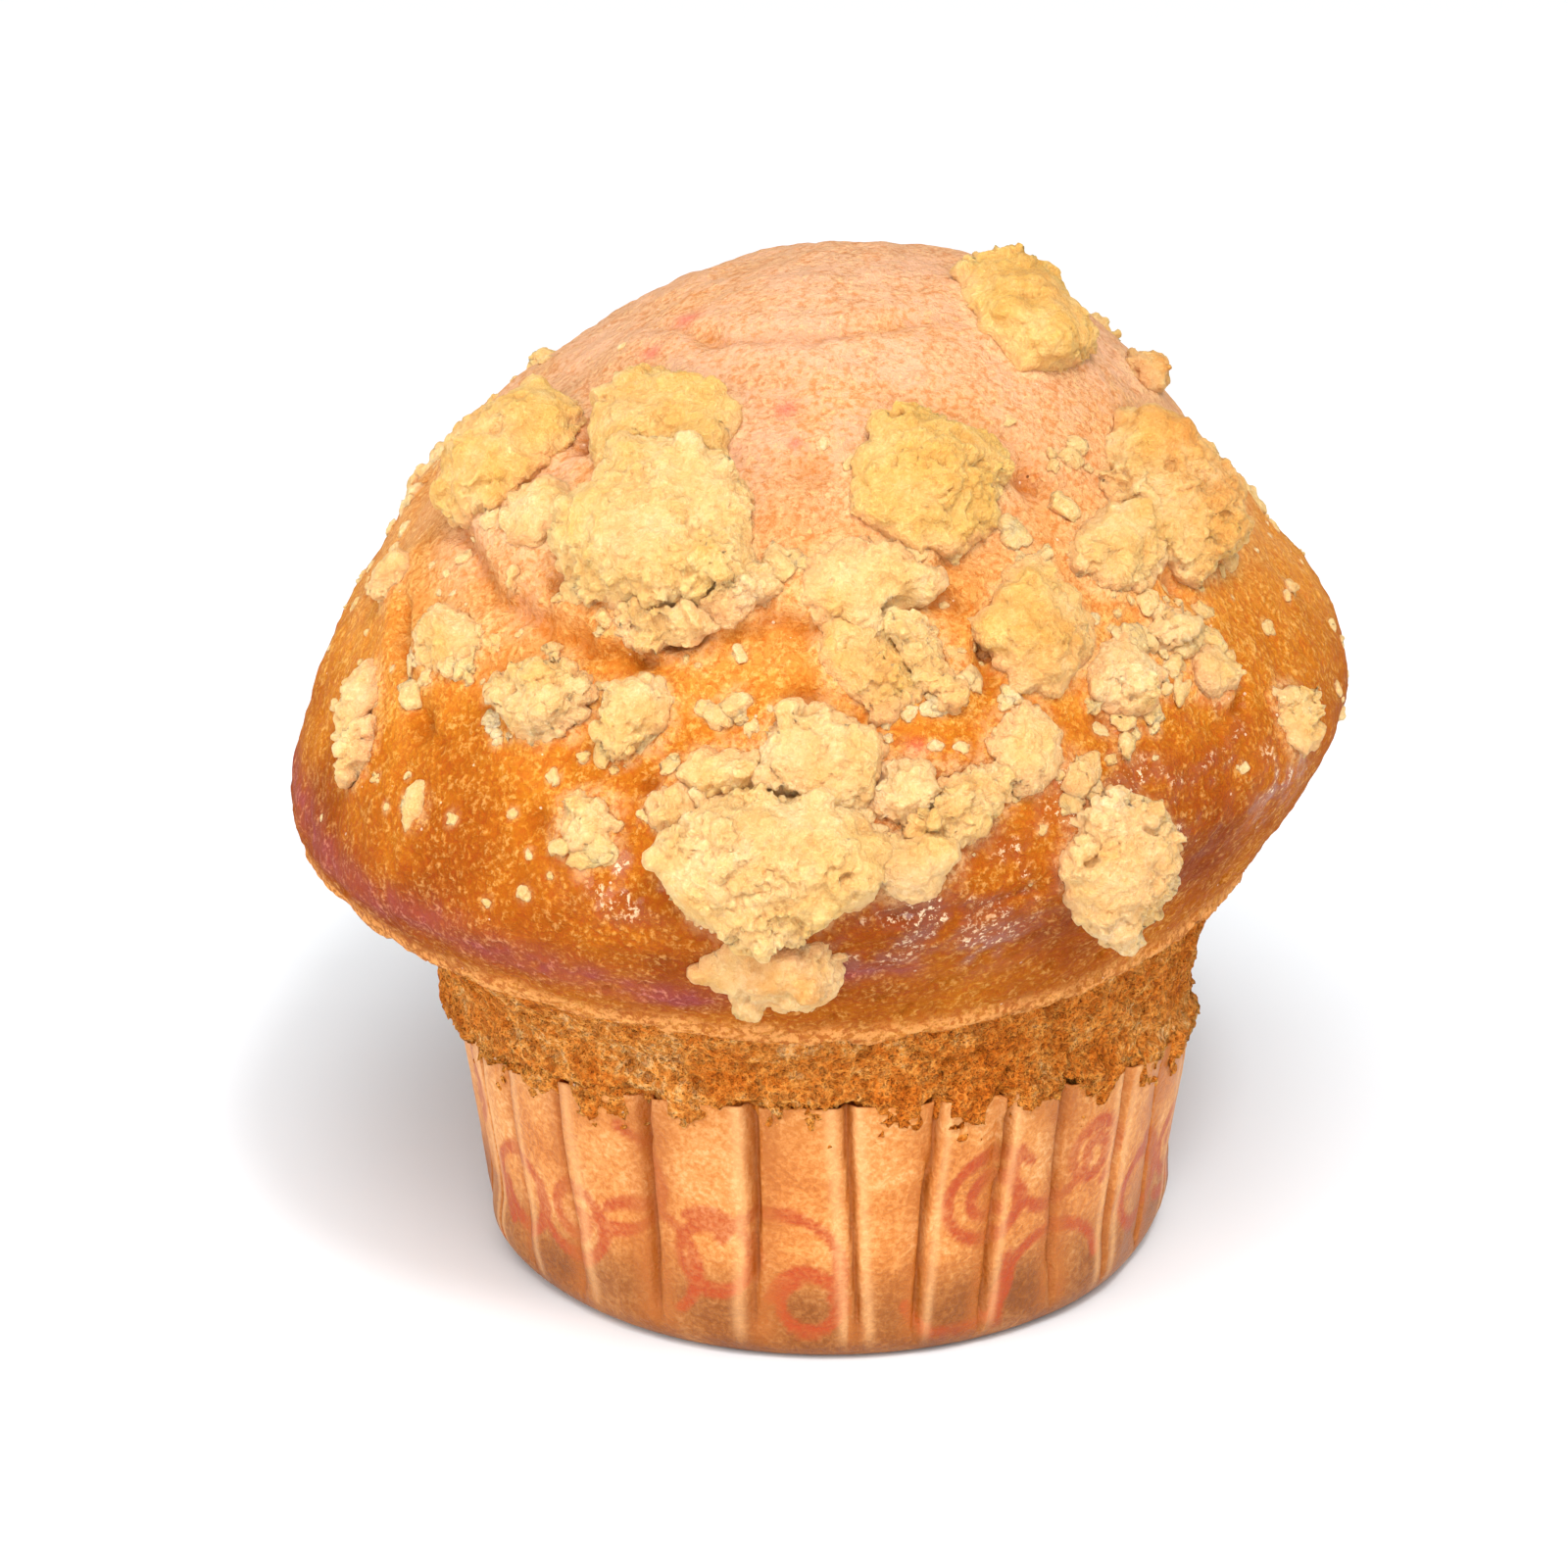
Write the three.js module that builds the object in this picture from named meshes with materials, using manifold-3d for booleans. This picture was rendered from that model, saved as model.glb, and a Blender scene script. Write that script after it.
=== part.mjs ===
// A crumble-topped muffin, baked in a pleated paper case.
// Millimetres, +Z up. The origin is the middle of the case's foot, on the table.
// A turn is an angle round the muffin in degrees: 0 is the front (-Y) and 90 the right (+X).
import * as THREE from "three";
import { mergeVertices } from "three/addons/utils/BufferGeometryUtils.js";
import Module from "manifold-3d";

const wasm = await Module();
wasm.setup();

const { clamp, degToRad, lerp, smoothstep } = THREE.MathUtils;

// Driving dimensions
const paperThickness = 0.3; // a greaseproof case and the butter-soaked skin that sticks to it
const gap = 0.3; // kept between neighbouring pieces
const pleatCount = 27;
const pleatDepth = 1.3;
const footRadius = 25;
const cornerRadius = 27.3; // where the rounded corner ends and the pleated wall begins
const cornerHeight = 3;
const foldHeight = 6; // the folds reach their full depth here
const mouthRadius = 30.4;
const mouthHeight = 24; // nominal: paperTop gives the edge's real height at each turn
const coreRadius = 25; // the core joins the part in the case to the crown
const coreHeight = 32;
const rimTilt = 4.5; // the crown's rim stands this much higher on the right than midway
const rimTiltHeight = 42.5;
const rimTiltReach = 12;
const crownSway = -0.9; // the crown leans this far to the left up to its rim, and less above
const crumbSunk = 0.35; // the share of a crumb's thickness that lies in the crust

// The crown's outline, as radius and height, from just inside the case to the top
const crownOutline = [
  [30.5, 24.5],
  [31, 27.5],
  [33.2, 30.6],
  [36.4, 34.5],
  [39.6, 38.5],
  [41.8, 42],
  [42.3, 44.5],
  [41.2, 48.5],
  [38.6, 53.5],
  [35, 59],
  [31.2, 64],
  [27.6, 68.3],
  [23.2, 72.3],
  [18, 76.1],
  [11.5, 79.1],
  [5.5, 81],
  [0, 81.5],
];

// Each side's crumbs. turn and height say where on the crust; across, up and tall are a crumb's
// sizes round the muffin, up its slope and through the crust; lean turns it on the crust
const crumbs = {
  front: [
    { turn: -4, height: 48.2, across: 16, up: 11, tall: 8, lean: 0 },
    { turn: 0, height: 54.6, across: 8.5, up: 8.4, tall: 5.5, lean: -20 },
    { turn: 10, height: 48.5, across: 7, up: 5, tall: 4.5, lean: 0 },
    { turn: 9, height: 53, across: 5, up: 4.5, tall: 4, lean: 0 },
    { turn: 15.5, height: 52, across: 7, up: 5, tall: 4.5, lean: 20 },
    { turn: -4.5, height: 40, across: 9.5, up: 5.5, tall: 4, lean: 0 },
    { turn: -10, height: 54, across: 7, up: 3.2, tall: 3, lean: 5 },
    { turn: 4.5, height: 61, across: 8.5, up: 4.8, tall: 4, lean: -48 },
    { turn: 11.5, height: 61.3, across: 9, up: 4, tall: 3.5, lean: -58 },
    { turn: 23, height: 54.8, across: 5.2, up: 6.4, tall: 3, lean: 15 },
    { turn: -22, height: 57, across: 4.4, up: 5.6, tall: 3.4, lean: 0 },
    { turn: -24, height: 50, across: 4.2, up: 4, tall: 2.4, lean: 0 },
    { turn: -15, height: 51.5, across: 3.4, up: 2.6, tall: 2.2, lean: 0 },
  ],
  left: [
    { turn: -24.5, height: 68, across: 15.5, up: 12, tall: 7.5, lean: -12 },
    { turn: -12.5, height: 65.5, across: 6.8, up: 5.6, tall: 5.5, lean: 0 },
    { turn: -21, height: 63, across: 7, up: 5, tall: 4, lean: 0 },
    { turn: -35, height: 73.3, across: 11, up: 10, tall: 4.6, lean: 10 },
    { turn: -64, height: 69, across: 11, up: 11.5, tall: 6.5, lean: 0 },
    { turn: -47, height: 67.3, across: 5.2, up: 6, tall: 3.6, lean: 0 },
    { turn: -34, height: 57, across: 7.4, up: 6.4, tall: 4.2, lean: 0 },
    { turn: -52, height: 58.3, across: 7.4, up: 4.4, tall: 3.2, lean: 15 },
    { turn: -63, height: 51, across: 4, up: 6.4, tall: 3, lean: 10 },
    { turn: -59, height: 48.6, across: 2.8, up: 4.4, tall: 2.4, lean: 0 },
    { turn: -72, height: 59, across: 3.4, up: 3, tall: 2.4, lean: 0 },
  ],
  right: [
    { turn: 17.5, height: 71, across: 12.5, up: 11, tall: 6.5, lean: 15 },
    { turn: 5, height: 65.6, across: 9.5, up: 5.4, tall: 3.4, lean: 0 },
    { turn: 70, height: 78.2, across: 13, up: 10, tall: 5.5, lean: 35 },
    { turn: 61, height: 66.6, across: 12, up: 12, tall: 7, lean: 0 },
    { turn: 45, height: 65, across: 9.6, up: 6.4, tall: 4.6, lean: 8 },
    { turn: 28, height: 61.7, across: 7.8, up: 10, tall: 5.5, lean: -8 },
    { turn: 38, height: 57.5, across: 6, up: 5.8, tall: 3.6, lean: 0 },
    { turn: 47.5, height: 59.6, across: 4.2, up: 3.6, tall: 2.8, lean: 0 },
    { turn: 51, height: 56.3, across: 4, up: 3.4, tall: 2.6, lean: 0 },
    { turn: 62, height: 51, across: 3.6, up: 6, tall: 2.6, lean: -12 },
    { turn: 32, height: 46, across: 9.4, up: 12, tall: 5, lean: 10 },
    { turn: 88, height: 72.3, across: 4.6, up: 4, tall: 3.4, lean: 0 },
  ],
  back: [
    { turn: 127, height: 56, across: 9, up: 7.5, tall: 5, lean: 20 },
    { turn: 142, height: 65.5, across: 12, up: 9.5, tall: 6, lean: -15 },
    { turn: 129, height: 47, across: 6.5, up: 7.5, tall: 4, lean: 0 },
    { turn: 115, height: 47, across: 5, up: 4, tall: 3, lean: 10 },
    { turn: 146, height: 46.5, across: 11, up: 8.5, tall: 5.5, lean: 0 },
    { turn: 157, height: 59.5, across: 13, up: 10, tall: 7, lean: 25 },
    { turn: 167, height: 51, across: 7, up: 5, tall: 4, lean: -30 },
    { turn: 172, height: 70, across: 9, up: 7, tall: 4.5, lean: 0 },
    { turn: 186, height: 60, across: 6, up: 8, tall: 4.4, lean: 15 },
    { turn: 196, height: 49.5, across: 13, up: 9, tall: 6.5, lean: -10 },
    { turn: 203, height: 63, across: 12, up: 9, tall: 6, lean: 30 },
    { turn: 215, height: 54, across: 5, up: 4.4, tall: 3.2, lean: 0 },
    { turn: 220, height: 62.8, across: 8, up: 9, tall: 4.6, lean: 0 },
    { turn: 226, height: 50.5, across: 10, up: 8, tall: 5.5, lean: -20 },
    { turn: 240, height: 46, across: 6, up: 5, tall: 3.4, lean: 0 },
    { turn: 238, height: 57.5, across: 7, up: 6, tall: 4, lean: 0 },
  ],
};

// Height of the paper's cut edge: it stands tallest at the front
function paperTop(turn) {
  return 20.2 + 2.2 * Math.cos(turn) + 1.2 * Math.cos(2 * turn);
}

// Pleats are evenly spaced in phase and pressed together or pulled apart in turn
function turnOfPhase(phase) {
  return phase + 0.05 * Math.sin(3 * phase + 1) + 0.03 * Math.sin(5 * phase + 2.2);
}

// 0 on the broad flat of a pleat and 1 down in the narrow fold between two
function foldAt(phase) {
  const across = (phase * pleatCount) / (2 * Math.PI);
  const fromFold = Math.abs(across - Math.round(across));
  return clamp(1 - fromFold * 4, 0, 1);
}

function pointAt({ turn, radius, z }) {
  return new THREE.Vector3(radius * Math.sin(turn), -radius * Math.cos(turn), z);
}

// Moves each vertex of a turned shape. move gets { turn, radius, z }, turn in radians, and returns
// the vertex's new place
function reshape(geometry, move) {
  const at = geometry.getAttribute("position");
  for (let i = 0; i < at.count; i += 1) {
    const turn = Math.atan2(at.getX(i), -at.getY(i));
    const radius = Math.hypot(at.getX(i), at.getY(i));
    const moved = move({ turn, radius, z: at.getZ(i) });
    at.setXYZ(i, moved.x, moved.y, moved.z);
  }
  return geometry;
}

// Turns an outline of [radius, z] pairs round the Z axis
function turned(outline, columns) {
  const points = outline.map(([radius, z]) => new THREE.Vector2(radius, z));
  return new THREE.LatheGeometry(points, columns).rotateX(Math.PI / 2);
}

// A closed geometry as a solid for cutting and joining
function solidOf(geometry) {
  const bare = geometry.clone();
  bare.deleteAttribute("normal");
  bare.deleteAttribute("uv");
  const merged = mergeVertices(bare);
  const triVerts = new Uint32Array(merged.index.array);
  const vertProperties = merged.getAttribute("position").array;
  return new wasm.Manifold(new wasm.Mesh({ numProp: 3, vertProperties, triVerts }));
}

function geometryOf(solid) {
  const mesh = solid.getMesh();
  const geometry = new THREE.BufferGeometry();
  geometry.setAttribute("position", new THREE.BufferAttribute(mesh.vertProperties, 3));
  geometry.setIndex(new THREE.BufferAttribute(mesh.triVerts, 1));
  geometry.computeVertexNormals();
  return geometry;
}

// Lays a turned shape into the pleats: walls follow the paper's height, and folds run inwards
function pleated(geometry) {
  const slope = (mouthRadius - cornerRadius) / (mouthHeight - cornerHeight);
  return reshape(geometry, ({ turn: phase, radius, z }) => {
    const turn = turnOfPhase(phase);
    const up = clamp((z - cornerHeight) / (mouthHeight - cornerHeight), 0, 1);
    const rise = up * (paperTop(turn) - mouthHeight);
    const fold = foldAt(phase) * pleatDepth * smoothstep(z, 0.3, foldHeight);
    const onWall = radius > 1;
    return pointAt({ turn, radius: onWall ? radius - fold + rise * slope : radius, z: z + rise });
  });
}

// The case's outer outline, drawn in by inset and raised by floor
function caseOutline(inset, floor) {
  return [
    [0, floor],
    [footRadius - inset / 2, floor],
    [lerp(footRadius, cornerRadius, 0.75) - inset, cornerHeight / 3 + floor],
    [cornerRadius - inset, cornerHeight + floor / 2],
    [mouthRadius - inset, mouthHeight],
  ];
}

const pleatColumns = pleatCount * 4; // a line in each fold, one on each side of it and one between

function makePaperCase() {
  const inside = caseOutline(paperThickness, paperThickness).reverse();
  return pleated(turned([...caseOutline(0, 0), ...inside], pleatColumns));
}

// The part of the muffin that filled the case, with the core that runs up into the crown
function makeBase() {
  const inset = paperThickness + gap;
  const core = [[coreRadius, mouthHeight], [coreRadius, coreHeight], [0, coreHeight]];
  return pleated(turned([...caseOutline(inset, inset), ...core], pleatColumns));
}

const crownCurve = new THREE.SplineCurve(crownOutline.map((pair) => new THREE.Vector2(...pair)));
const crownFoot = crownOutline[0][1];

// The crown settles onto the paper's edge, its rim tilts, and it bulges and leans unevenly
function settleCrown({ turn, radius, z }) {
  const settle = (paperTop(turn) + gap - crownFoot) * (1 - smoothstep(z, crownFoot, 30));
  const nearRim = smoothstep(z, crownFoot, 32) * Math.exp(-(((z - rimTiltHeight) / rimTiltReach) ** 2));
  const tilt = rimTilt * Math.sin(turn) * nearRim;
  const shoulder = 0.07 * radius * Math.sin(turn) * smoothstep(z, 66, 76);
  const bulge = 0.012 * Math.cos(2 * turn + 0.6) + 0.01 * Math.cos(3 * turn + 2);
  const onRim = smoothstep(z, 28, 36) * (1 - smoothstep(z, 70, 82));
  const point = pointAt({ turn, radius: radius * (1 + bulge * onRim), z: z + tilt + shoulder });
  point.z += radius > 1 ? settle : 0;
  point.x += crownSway * (1 - smoothstep(z, 46, 62));
  return point;
}

function makeCrown() {
  const outline = crownCurve.getPoints(18).map((p) => [Math.max(p.x, 0), p.y]);
  return reshape(turned([[0, crownFoot], ...outline], 64), settleCrown);
}

// The point of the crust at a turn in radians, a share of the way from the foot to the top
function crustPoint(turn, share) {
  const onCurve = crownCurve.getPoint(share);
  return settleCrown({ turn, radius: onCurve.x, z: onCurve.y });
}

// Halves the crust's outline again and again until it is at the height
function shareAtHeight(turn, height) {
  let low = 0;
  let high = 1;
  for (let i = 0; i < 24; i += 1) {
    const middle = (low + high) / 2;
    if (crustPoint(turn, middle).z < height) low = middle;
    else high = middle;
  }
  return low;
}

// Where a crumb lies: its X runs round the muffin, Y up the slope and Z out of the crust
function crumbPlace({ turn, height, tall, lean }) {
  const angle = degToRad(turn);
  const share = shareAtHeight(angle, height);
  const round = new THREE.Vector3(Math.cos(angle), Math.sin(angle), 0);
  const slope = crustPoint(angle, share + 0.01).sub(crustPoint(angle, share - 0.01)).normalize();
  const out = round.clone().cross(slope);
  const middle = crustPoint(angle, share).addScaledVector(out, (0.5 - crumbSunk) * tall);
  const place = new THREE.Matrix4().makeBasis(round, slope, out).setPosition(middle);
  return place.multiply(new THREE.Matrix4().makeRotationZ(degToRad(lean)));
}

// A lumpy ball, different for each seed, scaled to the crumb's sizes and grown by extra all round
function makeLump({ across, up, tall }, seed, extra) {
  const detail = across * up > 95 ? 2 : 1;
  const geometry = new THREE.IcosahedronGeometry(1, detail);
  const at = geometry.getAttribute("position");
  const v = new THREE.Vector3();
  for (let i = 0; i < at.count; i += 1) {
    v.fromBufferAttribute(at, i);
    const lumps = Math.sin(3.1 * v.x + seed) + Math.sin(3.7 * v.y + 2.3 * seed);
    const knobs = Math.sin(5.3 * v.z + 1.7 * seed) * Math.sin(4.9 * v.x - seed);
    v.multiplyScalar(1 + 0.07 * lumps + 0.05 * knobs);
    at.setXYZ(i, v.x * (across / 2 + extra), v.y * (up / 2 + extra), v.z * (tall / 2 + extra));
  }
  return geometry;
}

const cakeColour = new THREE.MeshStandardMaterial({ color: 0xd98f45, roughness: 0.6, metalness: 0 });
const paperColour = new THREE.MeshStandardMaterial({ color: 0xe5a368, roughness: 0.5, metalness: 0 });
const crumbColour = new THREE.MeshStandardMaterial({ color: 0xf0d08a, roughness: 0.9, metalness: 0 });

const group = new THREE.Group();

function addPiece(name, geometry, material) {
  const mesh = new THREE.Mesh(geometry, material);
  mesh.name = name;
  group.add(mesh);
}

addPiece("paper_case", makePaperCase(), paperColour);

// Each crumb keeps the gap to the crumbs before it, and leaves a pocket of its own in the crust
let pockets = null;
Object.entries(crumbs).forEach(([side, list]) => {
  list.forEach((crumb, index) => {
    const place = crumbPlace(crumb);
    const seed = crumb.turn * 0.37 + crumb.height;
    const whole = solidOf(makeLump(crumb, seed, 0).applyMatrix4(place));
    const pocket = solidOf(makeLump(crumb, seed, gap * 1.2).applyMatrix4(place));
    const bits = (pockets ? whole.subtract(pockets) : whole).decompose();
    const biggest = bits.reduce((a, b) => (a.volume() > b.volume() ? a : b));
    addPiece(`crumb_${side}_${index + 1}`, geometryOf(biggest), crumbColour);
    pockets = pockets ? pockets.add(pocket) : pocket;
  });
});

const muffin = solidOf(makeBase()).add(solidOf(makeCrown())).subtract(pockets);
addPiece("muffin", geometryOf(muffin), cakeColour);

export default group;
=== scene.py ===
import itertools
import math
import random

import bmesh
import bpy
import numpy as np
from mathutils import Matrix, Vector
from mathutils.bvhtree import BVHTree
from mathutils.kdtree import KDTree


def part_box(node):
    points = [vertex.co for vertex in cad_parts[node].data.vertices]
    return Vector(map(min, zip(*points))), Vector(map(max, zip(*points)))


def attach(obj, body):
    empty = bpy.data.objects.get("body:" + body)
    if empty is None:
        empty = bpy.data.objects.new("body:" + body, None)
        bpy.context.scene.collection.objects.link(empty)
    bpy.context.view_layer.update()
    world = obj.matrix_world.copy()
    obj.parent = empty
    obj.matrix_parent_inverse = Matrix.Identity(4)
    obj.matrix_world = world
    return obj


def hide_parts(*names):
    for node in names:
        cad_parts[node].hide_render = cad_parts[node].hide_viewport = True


# A crumble-topped muffin in its paper case. Lengths in the dictionaries are in millimetres and
# turns in degrees round the muffin: 0 is the front and 90 the right.

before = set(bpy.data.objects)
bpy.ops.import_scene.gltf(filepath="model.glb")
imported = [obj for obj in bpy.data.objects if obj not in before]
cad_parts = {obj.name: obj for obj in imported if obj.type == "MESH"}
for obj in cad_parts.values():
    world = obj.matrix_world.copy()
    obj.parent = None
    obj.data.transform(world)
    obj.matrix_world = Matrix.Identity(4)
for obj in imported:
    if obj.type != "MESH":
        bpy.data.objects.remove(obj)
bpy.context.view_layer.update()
mm = 0.001
scene = bpy.context.scene


# Noise and small maths, on arrays of points in millimetres

layerTurn = np.array(Matrix.Rotation(0.9, 3, Vector((1, 2, 3))))  # keeps noise layers from lining up


def cellRandom(cell, seed):
    # the same number from 0 to 1 each time for a whole-number cell
    mixed = cell[..., 0] * 73856093 ^ cell[..., 1] * 19349663 ^ cell[..., 2] * 83492791
    mixed = (mixed ^ (seed * 40503 + 977)) * 1274126177
    mixed = (mixed ^ (mixed >> 15)) * 668265263
    mixed = mixed ^ (mixed >> 13)
    return (mixed & 0xFFFF) / 65535


def softNoise(points, size, seed=0):
    # smooth random values from -1 to 1, with features about size wide
    spot = points / size
    cell = np.floor(spot).astype(np.int64)
    part = spot - cell
    part = part * part * (3 - 2 * part)
    total = np.zeros(len(points))
    for corner in itertools.product((0, 1), repeat=3):
        corner = np.array(corner)
        share = np.prod(np.where(corner == 1, part, 1 - part), axis=1)
        total += share * cellRandom(cell + corner, seed)
    return total * 2 - 1


def layeredNoise(points, size, layers=3, seed=0, fade=0.5):
    total = np.zeros(len(points))
    weight = 1
    for layer in range(layers):
        total += weight * softNoise(points, size, seed + layer)
        points = points @ layerTurn
        size = size * 0.5
        weight = weight * fade
    return total / sum(fade ** layer for layer in range(layers))


def cells(points, size, seed=0):
    # distance to the nearest random point, in units of size, and that point's own random number
    spot = points / size
    home = np.floor(spot).astype(np.int64)
    nearest = np.full(len(points), 9.0)
    tag = np.zeros(len(points))
    for step in itertools.product((-1, 0, 1), repeat=3):
        cell = home + np.array(step)
        centre = cell + np.stack([cellRandom(cell, seed + k) for k in (11, 12, 13)], axis=1)
        away = np.linalg.norm(spot - centre, axis=1)
        closer = away < nearest
        nearest = np.where(closer, away, nearest)
        tag = np.where(closer, cellRandom(cell, seed + 14), tag)
    return nearest, tag


def ease(value, start, end):
    # 0 before start, 1 after end, smooth between; start may be the larger
    part = np.clip((value - start) / (end - start), 0, 1)
    return part * part * (3 - 2 * part)


def bump(distance, width):
    return np.exp(-((distance / width) ** 2))


def pathDistance(points, path):
    # distance from each point to a line through the path's points
    best = np.full(len(points), 1e9)
    for start, end in zip(path[:-1], path[1:]):
        along = end - start
        share = np.clip((points - start) @ along / max(along @ along, 1e-9), 0, 1)
        best = np.minimum(best, np.linalg.norm(points - start - share[:, None] * along, axis=1))
    return best


# Meshes

def copyMesh(node):
    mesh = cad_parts[node].data.copy()
    mesh.materials.clear()
    return mesh


def addObject(name, mesh):
    thing = bpy.data.objects.new(name, mesh)
    scene.collection.objects.link(thing)
    return thing


def remesh(thing, grid, rounding):
    # an even skin of small squares, with edges rounded by smoothing steps
    even = thing.modifiers.new("evenSkin", "REMESH")
    even.mode = "VOXEL"
    even.voxel_size = grid * mm
    if rounding:
        smooth = thing.modifiers.new("rounding", "SMOOTH")
        smooth.iterations = rounding
        smooth.factor = 0.5
    finished = thing.evaluated_get(bpy.context.evaluated_depsgraph_get())
    made = bpy.data.meshes.new_from_object(finished)
    thing.modifiers.clear()
    thing.data = made


def readMesh(mesh):
    # points in millimetres and normals
    points = np.empty(len(mesh.vertices) * 3)
    mesh.vertices.foreach_get("co", points)
    normals = np.empty(len(mesh.vertices) * 3)
    mesh.vertex_normals.foreach_get("vector", normals)
    return points.reshape(-1, 3) / mm, normals.reshape(-1, 3)


def writePoints(mesh, points):
    mesh.vertices.foreach_set("co", (points * mm).ravel())
    mesh.update()
    mesh.shade_smooth()


def paint(mesh, name, values):
    # a value for each vertex, which the materials read by name
    layer = mesh.attributes.new(name, "FLOAT", "POINT")
    layer.data.foreach_set("value", np.clip(values, 0, 1).astype(np.float32))


def surfaceOf(mesh):
    # a mesh ready to be hit by rays
    return BVHTree.FromPolygons([v.co for v in mesh.vertices], [p.vertices for p in mesh.polygons])


def distanceTo(surface, points, reach):
    # distance in millimetres from each point to a surface, at most reach
    near = np.full(len(points), float(reach))
    for index, point in enumerate((points * mm).tolist()):
        _, _, _, away = surface.find_nearest(point, reach * mm)
        if away is not None:
            near[index] = away / mm
    return near


def surfaceOfAll(meshes):
    spots = []
    faces = []
    for mesh in meshes:
        start = len(spots)
        spots += [v.co.copy() for v in mesh.vertices]
        faces += [[start + k for k in p.vertices] for p in mesh.polygons]
    return BVHTree.FromPolygons(spots, faces)


muffinSurface = surfaceOf(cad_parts["muffin"].data)
caseSurface = surfaceOf(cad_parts["paper_case"].data)
farOut = 0.1  # metres from the middle, outside everything


def outwardAt(turn):
    # the level direction out from the middle
    angle = math.radians(turn)
    return math.sin(angle), -math.cos(angle), 0


def lookIn(surface, turn, height):
    # where a level look towards the middle meets a surface, and its normal there
    outward = Vector(outwardAt(turn))
    point, normal, _, _ = surface.ray_cast(outward * farOut + Vector((0, 0, height * mm)), -outward)
    return point, normal


def onCrust(turn, height):
    point, normal = lookIn(muffinSurface, turn, height)
    return np.array(point) / mm, np.array(normal)


def crustPath(spots):
    return np.array([onCrust(turn, height)[0] for turn, height in spots])


def turnsOf(points):
    return np.degrees(np.arctan2(points[:, 0], -points[:, 1]))


def turnedPoints(turn, radius, level):
    # points from arrays of turns, radii and heights
    angle = np.radians(turn)
    return np.stack([np.sin(angle) * radius, -np.cos(angle) * radius, level], axis=1)


def ridePiece(piece, nodes):
    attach(piece, "root")
    if nodes:
        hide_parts(*nodes)


# Shader helpers

def feed(tree, node, inputs):
    # gives a node its inputs, each a plain value or another node's output
    for name, value in inputs.items():
        if isinstance(value, bpy.types.NodeSocket):
            tree.links.new(value, node.inputs[name])
        else:
            node.inputs[name].default_value = value
    return node


def place(tree, kind, inputs=None, **settings):
    # adds a node with its settings and inputs
    node = tree.nodes.new(kind)
    for name, value in settings.items():
        setattr(node, name, value)
    return feed(tree, node, inputs or {})


def placeGroup(tree, group, inputs):
    node = place(tree, "ShaderNodeGroup", node_tree=group)
    return feed(tree, node, inputs).outputs


def calc(tree, operation, *values, clamp=False):
    inputs = dict(enumerate(values))
    return place(tree, "ShaderNodeMath", inputs, operation=operation, use_clamp=clamp).outputs[0]


def spread(tree, value, low, high, newLow=0.0, newHigh=1.0):
    # stretches the values from low to high over newLow to newHigh, with soft ends
    inputs = {"Value": value, "From Min": low, "From Max": high, "To Min": newLow, "To Max": newHigh}
    return place(tree, "ShaderNodeMapRange", inputs, interpolation_type="SMOOTHSTEP").outputs[0]


def colour(hexCode):
    # a colour as an artist writes it, turned into the linear values that sockets hold
    parts = [int(hexCode[i : i + 2], 16) / 255 for i in (0, 2, 4)]
    return tuple(((p + 0.055) / 1.055) ** 2.4 if p > 0.04045 else p / 12.92 for p in parts) + (1,)


def blend(tree, share, below, above, kind="MIX"):
    # lays one colour over another by a share; sockets 0, 6 and 7 are a colour mix's own
    node = place(tree, "ShaderNodeMix", data_type="RGBA", blend_type=kind)
    return feed(tree, node, {0: share, 6: below, 7: above}).outputs[2]


def ramp(tree, value, stops):
    node = place(tree, "ShaderNodeValToRGB", {"Fac": value})
    while len(node.color_ramp.elements) < len(stops):
        node.color_ramp.elements.new(0.5)
    for element, (where, hexCode) in zip(node.color_ramp.elements, stops):
        element.position = where
        element.color = colour(hexCode)
    return node.outputs[0]


def painted(tree, name):
    return place(tree, "ShaderNodeAttribute", attribute_name=name).outputs["Fac"]


def tint(tree, base, mask, strength, hexCode, kind="MIX"):
    # lays a colour over base where a mask is, which is a painted value's name or an output
    if isinstance(mask, str):
        mask = painted(tree, mask)
    share = calc(tree, "MULTIPLY", mask, strength)
    return blend(tree, share, base, colour(hexCode), kind)


def millimetres(tree):
    # object coordinates in millimetres, so that noise scales are per millimetre
    where = place(tree, "ShaderNodeTexCoord").outputs["Object"]
    return place(tree, "ShaderNodeVectorMath", {0: where, "Scale": 1000.0}, operation="SCALE").outputs[0]


def noise(tree, where, scale, detail, **more):
    # a noise node; more holds Roughness where it isn't the usual 0.5
    inputs = {"Vector": where, "Scale": scale, "Detail": detail, **more}
    return place(tree, "ShaderNodeTexNoise", inputs).outputs


def speckle(tree, where, scale):
    # a cell pattern: the distance to each cell's middle, and a colour for each cell
    return place(tree, "ShaderNodeTexVoronoi", {"Vector": where, "Scale": scale}).outputs


def shaken(tree, where, wobble, amount):
    # moves positions about by a noise, so that cells lose their even shapes
    shake = place(tree, "ShaderNodeVectorMath", {0: wobble, "Scale": amount}, operation="SCALE")
    return place(tree, "ShaderNodeVectorMath", {0: where, 1: shake.outputs[0]}, operation="ADD").outputs[0]


def newGroup(name, inputs, outputs):
    # inputs are (name, kind, default), outputs (name, kind)
    group = bpy.data.node_groups.new(name, "ShaderNodeTree")
    for label, kind, default in inputs:
        socket = group.interface.new_socket(label, in_out="INPUT", socket_type="NodeSocket" + kind)
        if default is not None:
            socket.default_value = default
    for label, kind in outputs:
        group.interface.new_socket(label, in_out="OUTPUT", socket_type="NodeSocket" + kind)
    return group, place(group, "NodeGroupInput").outputs, place(group, "NodeGroupOutput")


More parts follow.
